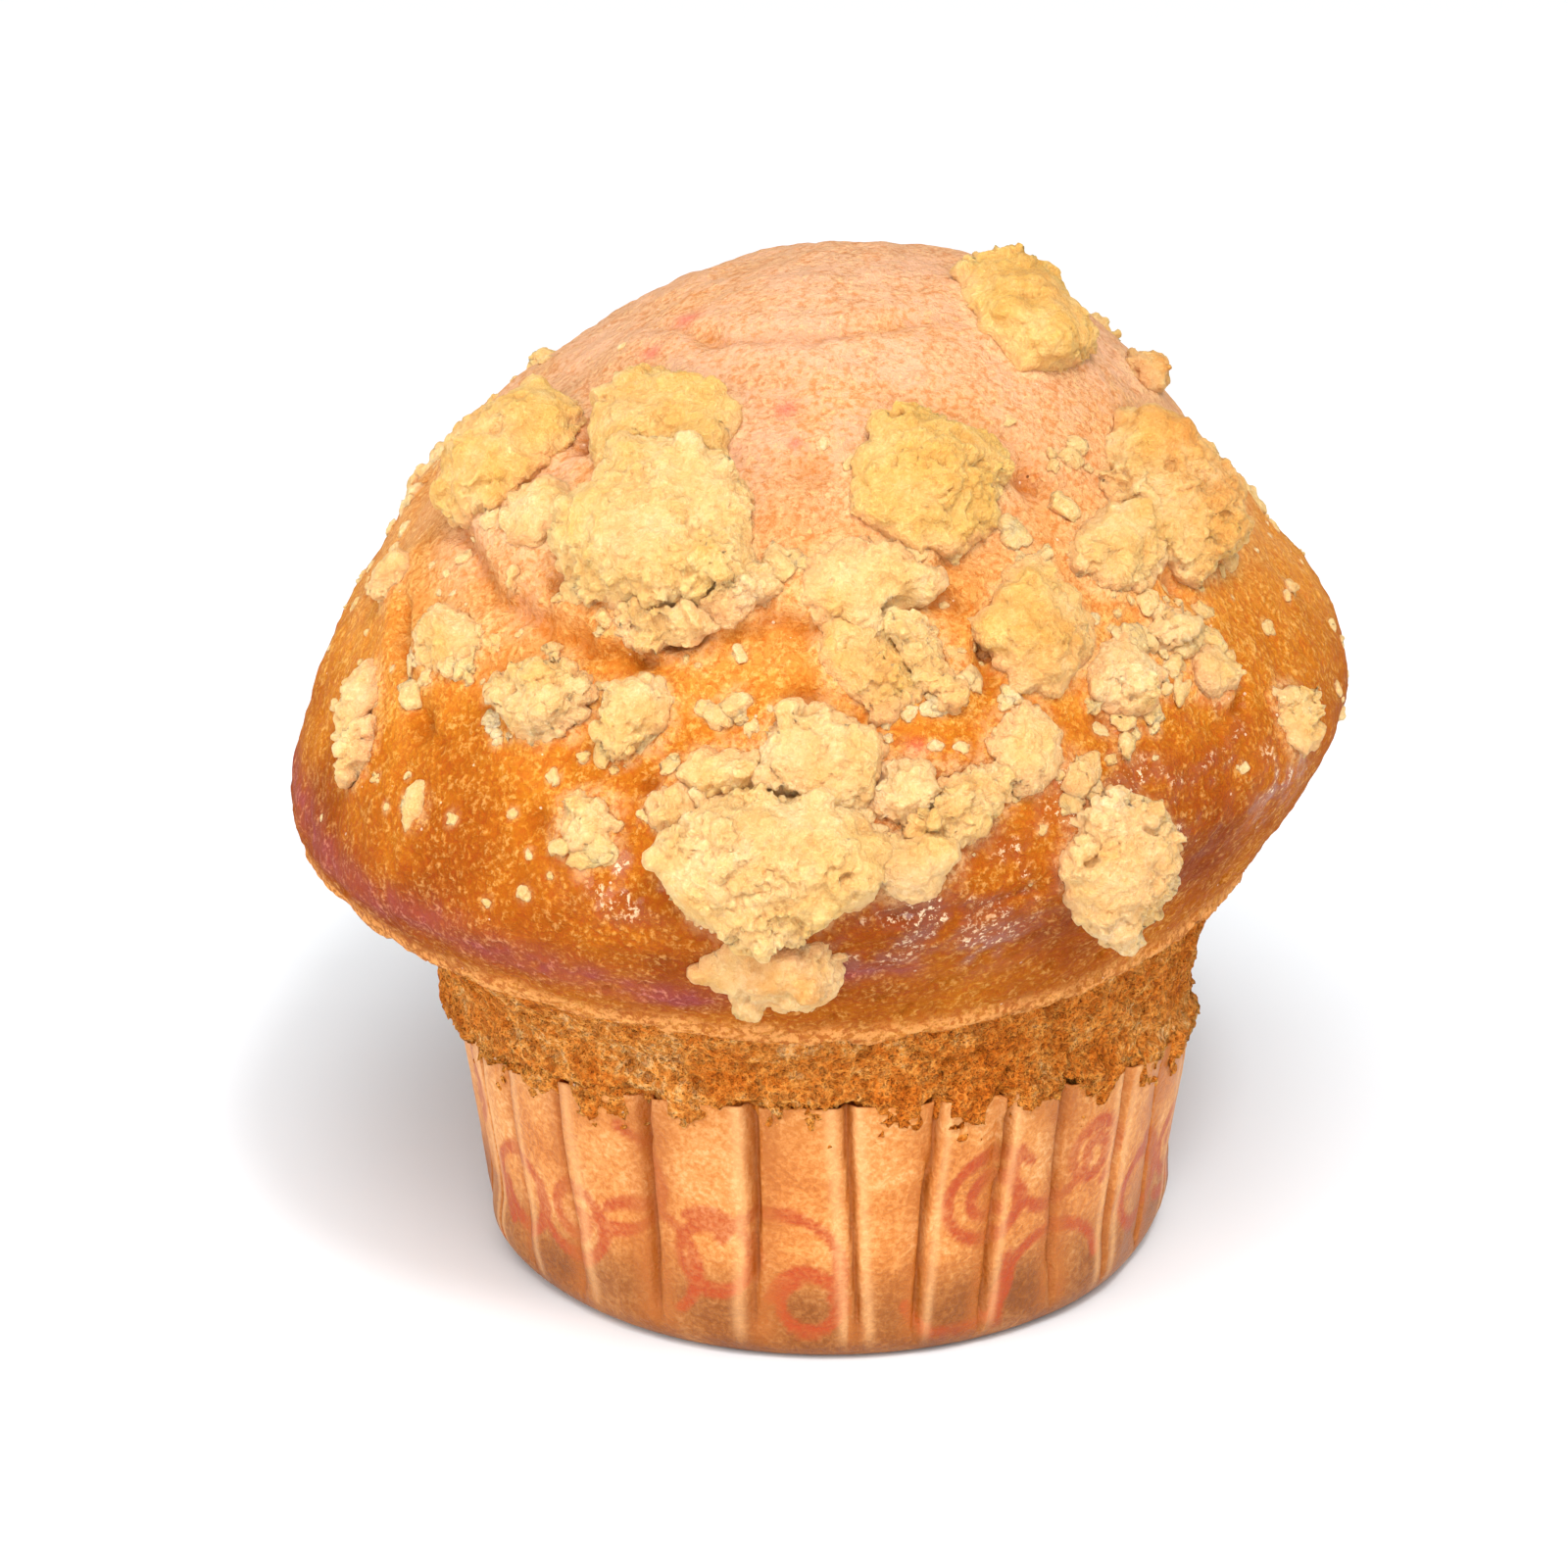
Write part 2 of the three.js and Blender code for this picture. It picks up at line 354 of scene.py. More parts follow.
def makeMottle():
    # broad and fine patches of value, the uneven colour of anything baked
    group, given, out = newGroup(
        "mottle",
        [("Position", "Vector", None), ("Patch Size", "Float", 4.0), ("Grain Size", "Float", 0.5),
         ("Grain Share", "Float", 0.4)],
        [("Value", "Float"), ("Grain", "Float")],
    )
    patchScale = calc(group, "DIVIDE", 1.0, given["Patch Size"])
    grainScale = calc(group, "DIVIDE", 1.0, given["Grain Size"])
    patches = noise(group, given["Position"], patchScale, 4.0, Roughness=0.6)
    grain = noise(group, given["Position"], grainScale, 3.0, Roughness=0.65)
    patchValue = spread(group, patches[0], 0.3, 0.7)
    grainValue = spread(group, grain[0], 0.3, 0.7)
    mixed = place(group, "ShaderNodeMix", {0: given["Grain Share"], 2: patchValue, 3: grainValue})
    feed(group, out, {"Value": mixed.outputs[0], "Grain": grainValue})
    return group


def makePores():
    # small round holes of a crumb structure: a mask that is 1 in a hole, and a height to bump
    group, given, out = newGroup(
        "pores",
        [("Position", "Vector", None), ("Size", "Float", 1.0), ("Openness", "Float", 0.5),
         ("Roughness", "Float", 0.5)],
        [("Holes", "Float"), ("Height", "Float")],
    )
    wobble = noise(group, given["Position"], 1.5, 2.0)
    moved = shaken(group, given["Position"], wobble[1], 0.35)
    scale = calc(group, "DIVIDE", 1.0, given["Size"])
    fineScale = calc(group, "MULTIPLY", scale, 2.7)
    rough = noise(group, given["Position"], fineScale, 3.0, Roughness=0.7)
    openness = calc(group, "MULTIPLY", given["Openness"], 0.6)
    large = calc(group, "SUBTRACT", 1.0, spread(group, speckle(group, moved, scale)[0], 0.12, openness))
    small = calc(group, "SUBTRACT", 1.0, spread(group, speckle(group, moved, fineScale)[0], 0.1, openness))
    both = calc(group, "MAXIMUM", large, calc(group, "MULTIPLY", small, 0.6))
    flat = calc(group, "SUBTRACT", 1.0, both)
    grit = calc(group, "MULTIPLY", rough[0], given["Roughness"])
    feed(group, out, {"Holes": both, "Height": calc(group, "ADD", flat, grit)})
    return group


def makeSpecksAndGlints():
    # scattered points, 1 on a point and 0 elsewhere: painted glints on the crust and paper, and dark specks
    # on the crust and crumbs
    group, given, out = newGroup(
        "specksAndGlints",
        [("Position", "Vector", None), ("Spacing", "Float", 0.8), ("Point Size", "Float", 0.12),
         ("Amount", "Float", 0.5)],
        [("Points", "Float")],
    )
    scale = calc(group, "DIVIDE", 1.0, given["Spacing"])
    dots = speckle(group, given["Position"], scale)
    radius = calc(group, "DIVIDE", given["Point Size"], given["Spacing"])
    near = calc(group, "LESS_THAN", dots[0], radius)
    chosen = place(group, "ShaderNodeSeparateColor", {0: dots[1]})
    kept = calc(group, "LESS_THAN", chosen.outputs[0], given["Amount"])
    feed(group, out, {"Points": calc(group, "MULTIPLY", near, kept)})
    return group


def makeSand():
    # packed round grains: how near each point is to a grain's top, and a height to bump
    group, given, out = newGroup(
        "sand",
        [("Position", "Vector", None), ("Grain Size", "Float", 0.5)],
        [("Tops", "Float"), ("Height", "Float")],
    )
    scale = calc(group, "DIVIDE", 1.0, given["Grain Size"])
    wobble = noise(group, given["Position"], scale, 2.0)
    shift = calc(group, "MULTIPLY", given["Grain Size"], 0.9)
    moved = shaken(group, given["Position"], wobble[1], shift)
    coarseTop = spread(group, speckle(group, moved, scale)[0], 0.85, 0.1)
    grit = noise(group, given["Position"], calc(group, "MULTIPLY", scale, 1.5), 3.0, Roughness=0.75)
    gritTop = spread(group, grit[0], 0.32, 0.68)
    tops = calc(group, "MULTIPLY_ADD", gritTop, 0.65, calc(group, "MULTIPLY", coarseTop, 0.35))
    patches = noise(group, given["Position"], calc(group, "MULTIPLY", scale, 0.35), 2.0)
    uneven = spread(group, patches[0], 0.3, 0.7, 0.6, 1.0)
    feed(group, out, {"Tops": tops, "Height": calc(group, "MULTIPLY", tops, uneven)})
    return group


mottle = makeMottle()
sand = makeSand()
pores = makePores()
specksAndGlints = makeSpecksAndGlints()


def sprinkle(tree, where, spacing, pointSize, amount):
    # a mask of scattered points, sized in millimetres
    inputs = {"Position": where, "Spacing": spacing, "Point Size": pointSize, "Amount": amount}
    return placeGroup(tree, specksAndGlints, inputs)["Points"]


def roughen(tree, height, strength, depth, **under):
    # a bump, its depth in millimetres; under may hold the Normal of another
    inputs = {"Strength": strength, "Distance": depth * mm, "Height": height, **under}
    return place(tree, "ShaderNodeBump", inputs).outputs[0]


def newMaterial(name, settings):
    # a material with a Principled surface; settings go straight on its sockets
    material = bpy.data.materials.new(name)
    material.use_nodes = True
    surface = material.node_tree.nodes["Principled BSDF"]
    for label, value in settings.items():
        surface.inputs[label].default_value = value
    return material, material.node_tree, surface


# The cake: its crust, the open sponge under the crown, and what the baking did to them

crustLook = {
    "grid": 0.4,  # size of the skin's squares
    "swell": 0.7,  # broad unevenness of the crown
    "ripple": 0.42,
    "grain": 0.16,
    "lipHeight": 30.4,  # where the crown's underside meets the open sponge at the front
    "lipRise": 4,  # how much higher that line runs at the sides
    "lipProud": 0.5,
    "spongeDepth": 0.3,  # how far the open sponge is set back
    "poreSize": 1.7,
    "poreDepth": 0.6,
    "spill": 3.2,  # how far sponge hangs down over the paper's edge
    "spillProud": 0.45,
    "tuck": 0.3,  # the cake's clearance inside the paper
    "fillet": 0.42,  # how high the crust rises against each crumb
    "crownStart": 40,  # the height where crumbs and their dust begin
    "bloomStart": 56,  # the pale top comes in between these heights
    "bloomFull": 73,
}

wallTaper = 0.17  # how fast the paper's wall draws in below its edge

# folds in the crown: (turn, height) along each, depth, width
creases = [
    ([(-83, 76.7), (-36, 77.9), (-5, 78.7), (22, 79.3), (49, 79), (80, 78)], 0.5, 0.7),
    ([(-13, 76.6), (-6, 74.2), (-2, 71.1), (-3, 67.8)], 0.4, 1.6),
    ([(22, 63), (20, 59.2)], 1.5, 0.6),
    ([(36, 73), (38, 71), (36, 69.5), (26, 68), (17, 66.2)], 0.7, 0.6),
    ([(-70, 59.5), (-60, 56.5), (-53, 53.6), (-46, 52.2)], 0.7, 0.7),
    ([(56, 56), (53, 53.6), (45, 52.2)], 0.7, 0.6),
    ([(-30, 36.6), (-15, 36.1)], 0.4, 0.4),
    ([(6, 44.8), (16, 44.2), (22, 45.5)], 0.4, 0.5),
    ([(80, 66), (94, 62.5), (108, 63.5), (122, 60)], 0.55, 0.9),
    ([(136, 75), (158, 73.5), (180, 75.5), (200, 74)], 0.45, 0.8),
    ([(236, 68), (250, 64), (262, 62), (274, 63)], 0.5, 0.9),
]

# long steps where the dome swelled out over the rim: (turn, height) along each, and how far
steps = [
    ([(-80, 66.5), (-62, 64), (-37, 61.4), (-25, 60), (-15, 61.7), (-5, 63), (5, 63.6), (16, 64.2),
      (24, 61.4)], 1.1),
    ([(140, 57), (172, 59.5), (196, 57), (222, 60)], 1.1),
]

# single holes and dents: turn, height, depth, radius
dents = [
    (-50, 71.6, 1.4, 1.5), (-38, 63.6, 1.3, 1.1), (-23, 60.9, 1.5, 1.0), (36, 70.4, 1.5, 1.1),
    (21, 61, 1.6, 1.0), (-64, 58.1, 1.2, 0.9), (-19, 52.9, 0.8, 0.8), (-50, 52.6, 0.9, 1.6),
    (-31, 49.5, 0.6, 0.9), (33, 55.6, 0.9, 0.9), (52, 62, 1.1, 0.8), (-2, 58.8, 0.6, 1.2),
    (110, 69, 1.3, 1.0), (143, 55, 1.1, 1.2), (178, 66, 1.4, 1.0), (220, 63, 1.2, 1.0), (255, 55, 1, 1.3),
]

# where butter and sugar soaked the crust: turn, height, radius
glazedSpots = [
    (-20, 46, 3.2), (11, 44.4, 4.2), (20, 46, 4.5), (17, 41, 3.5), (39, 47.5, 5), (5, 42.4, 4.5),
    (35, 50, 4), (47, 52, 4), (-6, 43, 4), (27, 51, 3.5), (57, 48, 4), (128, 51, 6), (151, 47, 5),
    (206, 52, 6), (240, 50, 5),
]

# a darker pinkish band under the rim: (turn, height) along it, half width
pinkBands = [
    ([(-84, 41.6), (-60, 39.9), (-41, 39.6), (-27, 37.8), (-14, 36.2)], 1.9),
    ([(2, 39.2), (9, 39)], 1.1),
    ([(208, 38), (232, 38.5), (262, 40)], 1.4),
]

# pink flecks of fruit: turn, height, radius
berrySpots = [
    (-9, 75.3, 0.9), (-6, 73.6, 0.5), (-64, 78.2, 1.1), (-58, 76.4, 0.8), (10, 55.5, 0.8), (160, 74, 1.2),
]

# how far the crust is baked, from 0 pale to 1 dark, at each height
bakedAt = {
    20: 0.56, 30: 0.62, 36: 0.74, 40: 0.82, 45: 0.8, 50: 0.68,
    56: 0.5, 63: 0.32, 70: 0.18, 76: 0.1, 82: 0.08,
}

# loose crumbs lying on the crust
fineLook = {
    "count": 270,
    "smallest": 0.26,
    "largest": 1.35,
    "lowest": 42,  # none lie below this height
    "highest": 77,
    # where fine crumbs fell together: turn, height, spread, how many
    "clusters": [
        (-38, 55, 3, 13), (-46, 58.5, 3, 11), (-26, 55, 3, 9), (-12, 57.5, 4, 11), (47, 59, 4, 20),
        (36, 54.5, 3.5, 14), (52, 58, 3, 12), (26, 51.5, 2.5, 8), (-14, 51, 3, 8), (-24, 49, 2, 7),
        (14, 58, 3, 10), (41, 62, 3, 11), (-55, 55, 3, 6), (60, 62, 3, 10), (0, 51, 4, 8), (9, 50, 3, 7),
        (-50, 48, 3, 5), (-30, 46, 3, 5), (55, 66, 4, 11), (30, 66, 3, 8), (-3, 66, 3, 8), (12, 67, 3, 10),
        (34, 48, 3, 6), (2, 56, 4, 8), (20, 54, 3, 8), (-58, 66, 4, 8), (-30, 65, 3, 8), (44, 70, 4, 8),
        (115, 62, 5, 12), (135, 68, 5, 10), (160, 60, 5, 12), (190, 57, 5, 12), (215, 61, 5, 10),
        (245, 58, 5, 10), (262, 61, 4, 8), (100, 58, 4, 8),
    ],
}


def drawSize(draw, look, share=1):
    # a random radius, with many more small ones than large ones
    return share * look["smallest"] * (look["largest"] / look["smallest"]) ** draw.random()


def pickFineSpots():
    # where each fine crumb lands: point, normal and radius
    look = fineLook
    draw = random.Random(29)
    spots = []
    for turn, height, reach, count in look["clusters"]:
        for _ in range(count):
            spots.append((turn + draw.gauss(0, reach * 0.8), height + draw.gauss(0, reach * 0.45), 1))
    for _ in range(look["count"]):
        spots.append((draw.uniform(-180, 180), min(look["highest"], draw.gauss(58, 7)), 0.6))
    found = []
    for turn, height, share in spots:
        if height > look["lowest"]:
            found.append((*onCrust(turn, height), drawSize(draw, look, share)))
    return found


fineSpots = pickFineSpots()
crumbNodes = sorted(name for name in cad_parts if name.startswith("crumb_"))
crumbSurface = surfaceOfAll([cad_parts[name].data for name in crumbNodes])


def caseRing():
    # turns, heights and radii round the paper's cut edge
    points = np.array([v.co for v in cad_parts["paper_case"].data.vertices]) / mm
    ring = points[points[:, 2] > points[:, 2].max() / 2]
    ring = ring[np.argsort(turnsOf(ring))]
    return turnsOf(ring), ring[:, 2], np.hypot(ring[:, 0], ring[:, 1])


ringTurns, ringHeights, ringRadii = caseRing()


def caseEdgeHeight(turn):
    return np.interp(turn, ringTurns, ringHeights, period=360)


def caseEdgeRadius(turn):
    return np.interp(turn, ringTurns, ringRadii, period=360)


def lipHeightAt(turn):
    # the line runs higher at both sides, and a little lower on the right than on the left
    side = np.sin(np.radians(turn))
    return crustLook["lipHeight"] + crustLook["lipRise"] * np.sqrt(side ** 2 + 0.01) - 0.9 * side


def addCreases(points, relief, creviceShade, wander):
    # a crease sinks along its line, and the crust beside it swells up
    strength = 0.25 + 0.75 * ease(layeredNoise(points, 7, 2, 26), -0.35, 0.25)
    for spots, depth, width in creases:
        away = np.abs(pathDistance(points, crustPath(spots)) + wander)
        inFold = bump(away, width) * strength
        relief += 0.4 * depth * strength * bump(away - 2.6 * width, 1.5 * width) - depth * inFold
        creviceShade = np.maximum(creviceShade, inFold * min(depth, 1))
    return relief, creviceShade


def addSteps(turn, height, relief, creviceShade, wander):
    # the crust stands out above a step's line, and is tucked in under it
    for spots, rise in steps:
        turns, heights = np.array(spots).T
        middle = (turn - turns.mean() + 180) % 360 - 180 + turns.mean()
        above = height - np.interp(middle, turns, heights) - 1.6 * wander
        ends = ease(middle, turns[0], turns[0] + 12) * ease(middle, turns[-1], turns[-1] - 8)
        relief += rise * ends * (ease(above, -0.3, 1.6) * bump(np.maximum(above, 0), 7) - 0.5)
        relief += 0.5 * rise * ends - 0.55 * rise * ends * bump(above, 1.1)
        creviceShade = np.maximum(creviceShade, 0.8 * ends * bump(above, 0.7))
    return relief, creviceShade


def addDents(points, relief, creviceShade, wander):
    for turn, level, depth, radius in dents:
        away = np.linalg.norm(points - onCrust(turn, level)[0], axis=1) * (1 + 0.6 * wander)
        inDent = bump(away, radius)
        relief -= depth * inDent
        creviceShade = np.maximum(creviceShade, inDent)
    return relief, creviceShade


def crownRelief(points, height, turn):
    # swells, ripples, folds and dents of the crown; returns the relief and how deep in a fold it is, the
    # mask for painted shade
    look = crustLook
    relief = look["swell"] * layeredNoise(points, 15, 2, 1)
    relief += look["ripple"] * layeredNoise(points, 5, 3, 5)
    relief += look["grain"] * layeredNoise(points, 1.4, 2, 9, 0.8)
    wander = 0.9 * layeredNoise(points, 3.5, 3, 20, 0.7)
    relief, creviceShade = addCreases(points, relief, np.zeros(len(points)), wander)
    relief, creviceShade = addSteps(turn, height, relief, creviceShade, wander)
    relief, creviceShade = addDents(points, relief, creviceShade, wander)
    fromTop = ease(height, 30, 36)
    return relief * fromTop, creviceShade * fromTop


def spotMask(points, spots):
    # 1 at the middle of each round spot, fading out over its radius
    mask = np.zeros(len(points))
    for turn, level, radius in spots:
        away = np.linalg.norm(points - onCrust(turn, level)[0], axis=1)
        mask = np.maximum(mask, bump(away, radius))
    return mask


def spongeRelief(points, near, tag, aboveLip):
    # the torn, open sponge: how far it stands in or out, and its two sizes of hole
    look = crustLook
    nearFine, tagFine = cells(points, look["poreSize"] * 0.5, 44)
    holes = (1 - ease(near, 0.16, 0.46)) * (tag > 0.5)
    fineHoles = (1 - ease(nearFine, 0.2, 0.55)) * (tagFine > 0.55)
    grains = 0.3 * (np.sqrt(np.maximum(0, 1 - nearFine ** 2)) - 0.8) + 0.35 * (tagFine - 0.5)
    crumby = 0.5 * layeredNoise(points, 2.4, 3, 50, 0.7) + grains
    tuckedIn = look["spongeDepth"] + 0.75 * bump(aboveLip + 1, 1.1)
    torn = crumby - tuckedIn - look["poreDepth"] * holes - 0.4 * fineHoles
    return torn, crumby, holes, fineHoles


def crumbDust(points, height, away):
    # pale dust round the crumbs and, thinner, round the loose ones
    dusty = layeredNoise(points, 2.2, 3, 95, 0.7)
    around = KDTree(len(fineSpots))
    for index, (point, _, _) in enumerate(fineSpots):
        around.insert(point, index)
    around.balance()
    close = np.zeros(len(points))
    for index in np.nonzero(height > crustLook["crownStart"])[0]:
        _, which, gap = around.find(points[index])
        close[index] = gap / fineSpots[which][2]
    roundCrumbs = ease(away, 1.7 + 1.6 * dusty, 0.1)
    return np.maximum(roundCrumbs, 0.6 * ease(close + 0.6 * dusty, 1.9, 0.7) * (close > 0))


def spillOver(points, turn, below):
    # sponge that stuck to the paper's outside when the crown rose over its edge
    look = crustLook
    radius = np.hypot(points[:, 0], points[:, 1])
    hang = 0.5 + 0.9 * layeredNoise(points * (1, 1, 0.35), 4.5, 2, 60)
    hang += 0.8 * layeredNoise(points, 1.1, 2, 63)
    spill = ease(hang - below / look["spill"], -0.06, 0.12) * ease(below, -1.6, -0.4) * (radius > 20)
    spill *= 1 - ease(below, look["spill"] * 1.5, look["spill"] * 1.8)
    skin = caseEdgeRadius(turn) - wallTaper * below + look["spillProud"]
    skin += 0.35 * layeredNoise(points, 1.1, 2, 66)
    grown = radius + spill * np.maximum(skin - radius, 0)
    points[:, :2] *= (grown / np.maximum(radius, 1))[:, None]
    return spill


def paintBaking(mesh, points, turn, height, creviceShade):
    # how baked, pale, pink-banded and sugar-glazed the crust is; the baking value also holds painted shade
    look = crustLook
    right = np.sin(np.radians(turn))
    # the right side runs more baked and less pale, partly as its deeper bake and partly as painted shade
    bake = np.interp(height - 2.5 * right * bump(height - 46, 14), list(bakedAt), list(bakedAt.values()))
    bake += 0.22 * layeredNoise(points, 9, 3, 70) - 0.02 * ease(np.abs(right), 0.4, 0.9)
    # painted shade: creases and dents are baked darker
    bake += 0.2 * creviceShade
    bloomHeight = height + 9 * layeredNoise(points, 11, 3, 75) - 1.5 * right
    pinkBand = np.zeros(len(points))
    for spots, width in pinkBands:
        off = pathDistance(points, crustPath(spots)) / (1 + 0.3 * layeredNoise(points, 5, 2, 80))
        pinkBand = np.maximum(pinkBand, bump(off, width) * (0.75 + 0.5 * softNoise(points, 0.9, 83)))
    # patches where sugar soaked in; the glaze mask made from them also places painted glints
    sugarAndGlint = ease(layeredNoise(points, 2.2, 3, 85, 0.7), -0.25, 0.25)
    paint(mesh, "bake", bake)
    paint(mesh, "bloom", ease(bloomHeight, look["bloomStart"], look["bloomFull"]))
    paint(mesh, "pinkBand", pinkBand)
    paint(mesh, "glaze", spotMask(points, glazedSpots) * sugarAndGlint)
    paint(mesh, "berry", spotMask(points, berrySpots))


def makeCrust():
    look = crustLook
    crust = addObject("cakeCrust", copyMesh("muffin"))
    remesh(crust, look["grid"], 5)
    mesh = crust.data
    points, normals = readMesh(mesh)
    turn = turnsOf(points)
    height = points[:, 2]
    edge = caseEdgeHeight(turn)
    ragged = 0.8 * layeredNoise(points, 6, 3, 30) + 0.7 * layeredNoise(points, 1.3, 2, 33, 0.8)
    aboveLip = height - lipHeightAt(turn) - ragged
    outside = ease(np.hypot(points[:, 0], points[:, 1]), 20, 25)
    sponge = (1 - ease(aboveLip, -0.3, 0.3)) * outside
    inBand = sponge * ease(height - edge, -4, -2)

    relief, creviceShade = crownRelief(points, height, turn)
    near, tag = cells(points, look["poreSize"], 40)
    torn, crumby, holes, fineHoles = spongeRelief(points, near, tag, aboveLip)
    relief += inBand * torn
    relief += look["lipProud"] * bump(aboveLip - 0.4, 0.7) * outside
    lowCrown = bump(aboveLip - 3.2, 3.0) * (1 - sponge)
    underHoles = (1 - ease(near, 0.12, 0.36)) * (tag > 0.62) * lowCrown
    relief += lowCrown * 0.45 * crumby - 0.7 * underHoles
    relief -= look["tuck"] * (1 - ease(height, edge - 4, edge - 2.5))

    # the crust rises against each crumb
    away = distanceTo(crumbSurface, points, 5)
    onCrown = ease(height, look["crownStart"], look["crownStart"] + 6)
    relief += look["fillet"] * ease(away, 1.5, 0) * onCrown
    dust = crumbDust(points, height, away) * onCrown
    points = points + normals * relief[:, None]
    spill = spillOver(points, turn, edge - height)
    writePoints(mesh, points)

    paintBaking(mesh, points, turn, height, creviceShade)
    shaded = [creviceShade, 0.8 * inBand * holes, 0.5 * inBand * fineHoles, underHoles]
    paint(mesh, "dust", dust)
    paint(mesh, "sponge", np.maximum(sponge, spill))
    paint(mesh, "lip", bump(aboveLip - 0.7, 0.9) * outside)
    # painted shade in creases, dents and the sponge's holes
    paint(mesh, "creviceShade", np.maximum.reduce(shaded))
    ridePiece(crust, ["muffin"])
    return crust


# The crumble

crumbLook = {
    "grid": 0.21,
    "root": 0.45,  # swelling next to the crust, which closes the gap there
    "swell": 0.25,  # for the biggest crumbs
    "gap": 0.16,  # how far neighbours draw apart
    "warp": 0.72,  # how far its outline is pulled about
    "clump": 0.45,  # unevenness of the whole crumb
    "block": 1.7,  # size of the bits it breaks into
    "blockProud": 0.8,
    "granule": 0.66,
    "granuleProud": 0.27,
    "pitSize": 3.4,
    "pitDepth": 1.1,
    "knobs": 0.17,  # knobs stuck on, as a share of the crumb's size
    "largestKnob": 1.5,
    "facing": 45,  # crumbs face away from this height in the muffin's middle
}

# how toasted and how yellow a few crumbs are; the rest get a random pale tone
crumbTones = {
    "crumb_right_4": (0.75, 0.6), "crumb_right_3": (0.35, 0.95), "crumb_right_1": (0.3, 0.9),
    "crumb_right_11": (0.4, 0.15), "crumb_right_12": (0.8, 0.5), "crumb_right_6": (0.55, 0.7),
    "crumb_front_6": (0.6, 0.3), "crumb_left_5": (0.3, 0.75), "crumb_left_1": (0.12, 0.45),
    "crumb_front_1": (0.15, 0.4), "crumb_front_8": (0.45, 0.7),
}


def crumbly(points, normals, seed, scale=1):
    # breaks a surface into blocks and grains; returns the moved points and how deep in a gap each is, the
    # mask for painted shade in the gaps
    look = crumbLook
    broken = ease(layeredNoise(points, 4.5 * scale, 2, seed + 20), -0.35, 0.45)
    shifted = points + 0.35 * layeredNoise(points, 0.9, 2, seed + 22)[:, None]
    near, tag = cells(shifted, look["block"] * scale, seed)
    nearFine, tagFine = cells(points, look["granule"] * (0.5 + 0.5 * scale), seed + 3)
    relief = broken * look["blockProud"] * (0.28 * (ease(near, 0.85, 0.35) - 0.75) + 0.9 * (tag - 0.5))
    fineRound = np.sqrt(np.maximum(0, 1 - nearFine ** 2)) - 0.8
    relief += look["granuleProud"] * (0.6 + broken) * (fineRound + 1.3 * (tagFine - 0.5))
    relief += 0.22 * layeredNoise(points, 2.4 * scale, 3, seed + 6, 0.65)
    pit, pitTag = cells(points, look["pitSize"] * scale, seed + 30)
    pits = (pitTag > 0.7) * (1 - ease(pit, 0.08, 0.26))
    relief -= look["pitDepth"] * pits
    deep = np.maximum(0.7 * broken * ease(near, 0.5, 0.85) * (1.15 - tag), 0.9 * pits)
    deep = np.maximum(deep, 0.3 * ease(nearFine, 0.5, 0.85))
    return points + normals * (relief * scale)[:, None], deep


def withKnobs(mesh, draw, outward):
    # sticks small balls on a crumb's open side, to be melted into it by the remesh
    build = bmesh.new()
    build.from_mesh(mesh)
    build.normal_update()
    spots = [(v.co.copy(), v.normal.copy()) for v in build.verts if v.normal.dot(outward) > -0.2]
    size = max((first - second).length for first, _ in spots for second, _ in spots)
    sides = [(where, normal) for where, normal in spots if normal.dot(outward) < 0.45]
    for turn in range(int(5 + size / mm * 0.9)):
        where, normal = draw.choice(sides if turn % 3 else spots)
        radius = min(draw.uniform(0.35, 1) * crumbLook["knobs"] * size, crumbLook["largestKnob"] * mm)
        middle = where - normal * radius * draw.uniform(0.35, 0.85)
        squashed = (draw.uniform(0.8, 1.3), draw.uniform(0.8, 1.3), draw.uniform(0.7, 1.1), 1)
        stretch = Matrix.Diagonal(squashed)
        spin = Matrix.Rotation(draw.uniform(0, 6.28), 4, Vector((draw.random(), draw.random(), 1)))
        stuckOn = Matrix.Translation(middle) @ spin @ stretch
        bmesh.ops.create_icosphere(build, subdivisions=2, radius=radius, matrix=stuckOn)
    build.to_mesh(mesh)
    build.free()


def shapeCrumb(mesh, size, seed, crustSurface):
    # roots a crumb in the crust, pulls its outline about and breaks its surface into grains
    look = crumbLook
    points, normals = readMesh(mesh)
    rooted = distanceTo(crustSurface, points, 3)
    grow = look["root"] * ease(rooted, 1.5, 0) + look["swell"] * ease(size, 7, 11) - look["gap"]
    points = points + normals * (grow + look["clump"] * layeredNoise(points, 4.2, 2, seed))[:, None]
    for width, reach in ((3.4, look["warp"]), (1.5, 0.45 * look["warp"])):
        pull = [layeredNoise(points, width, 2, seed + 14 + axis) for axis in range(3)]
        points = points + reach * np.stack(pull, 1)
    writePoints(mesh, points)
    points, normals = readMesh(mesh)
    points, deep = crumbly(points, normals, seed + 5)
    writePoints(mesh, points)
    return points, deep, rooted


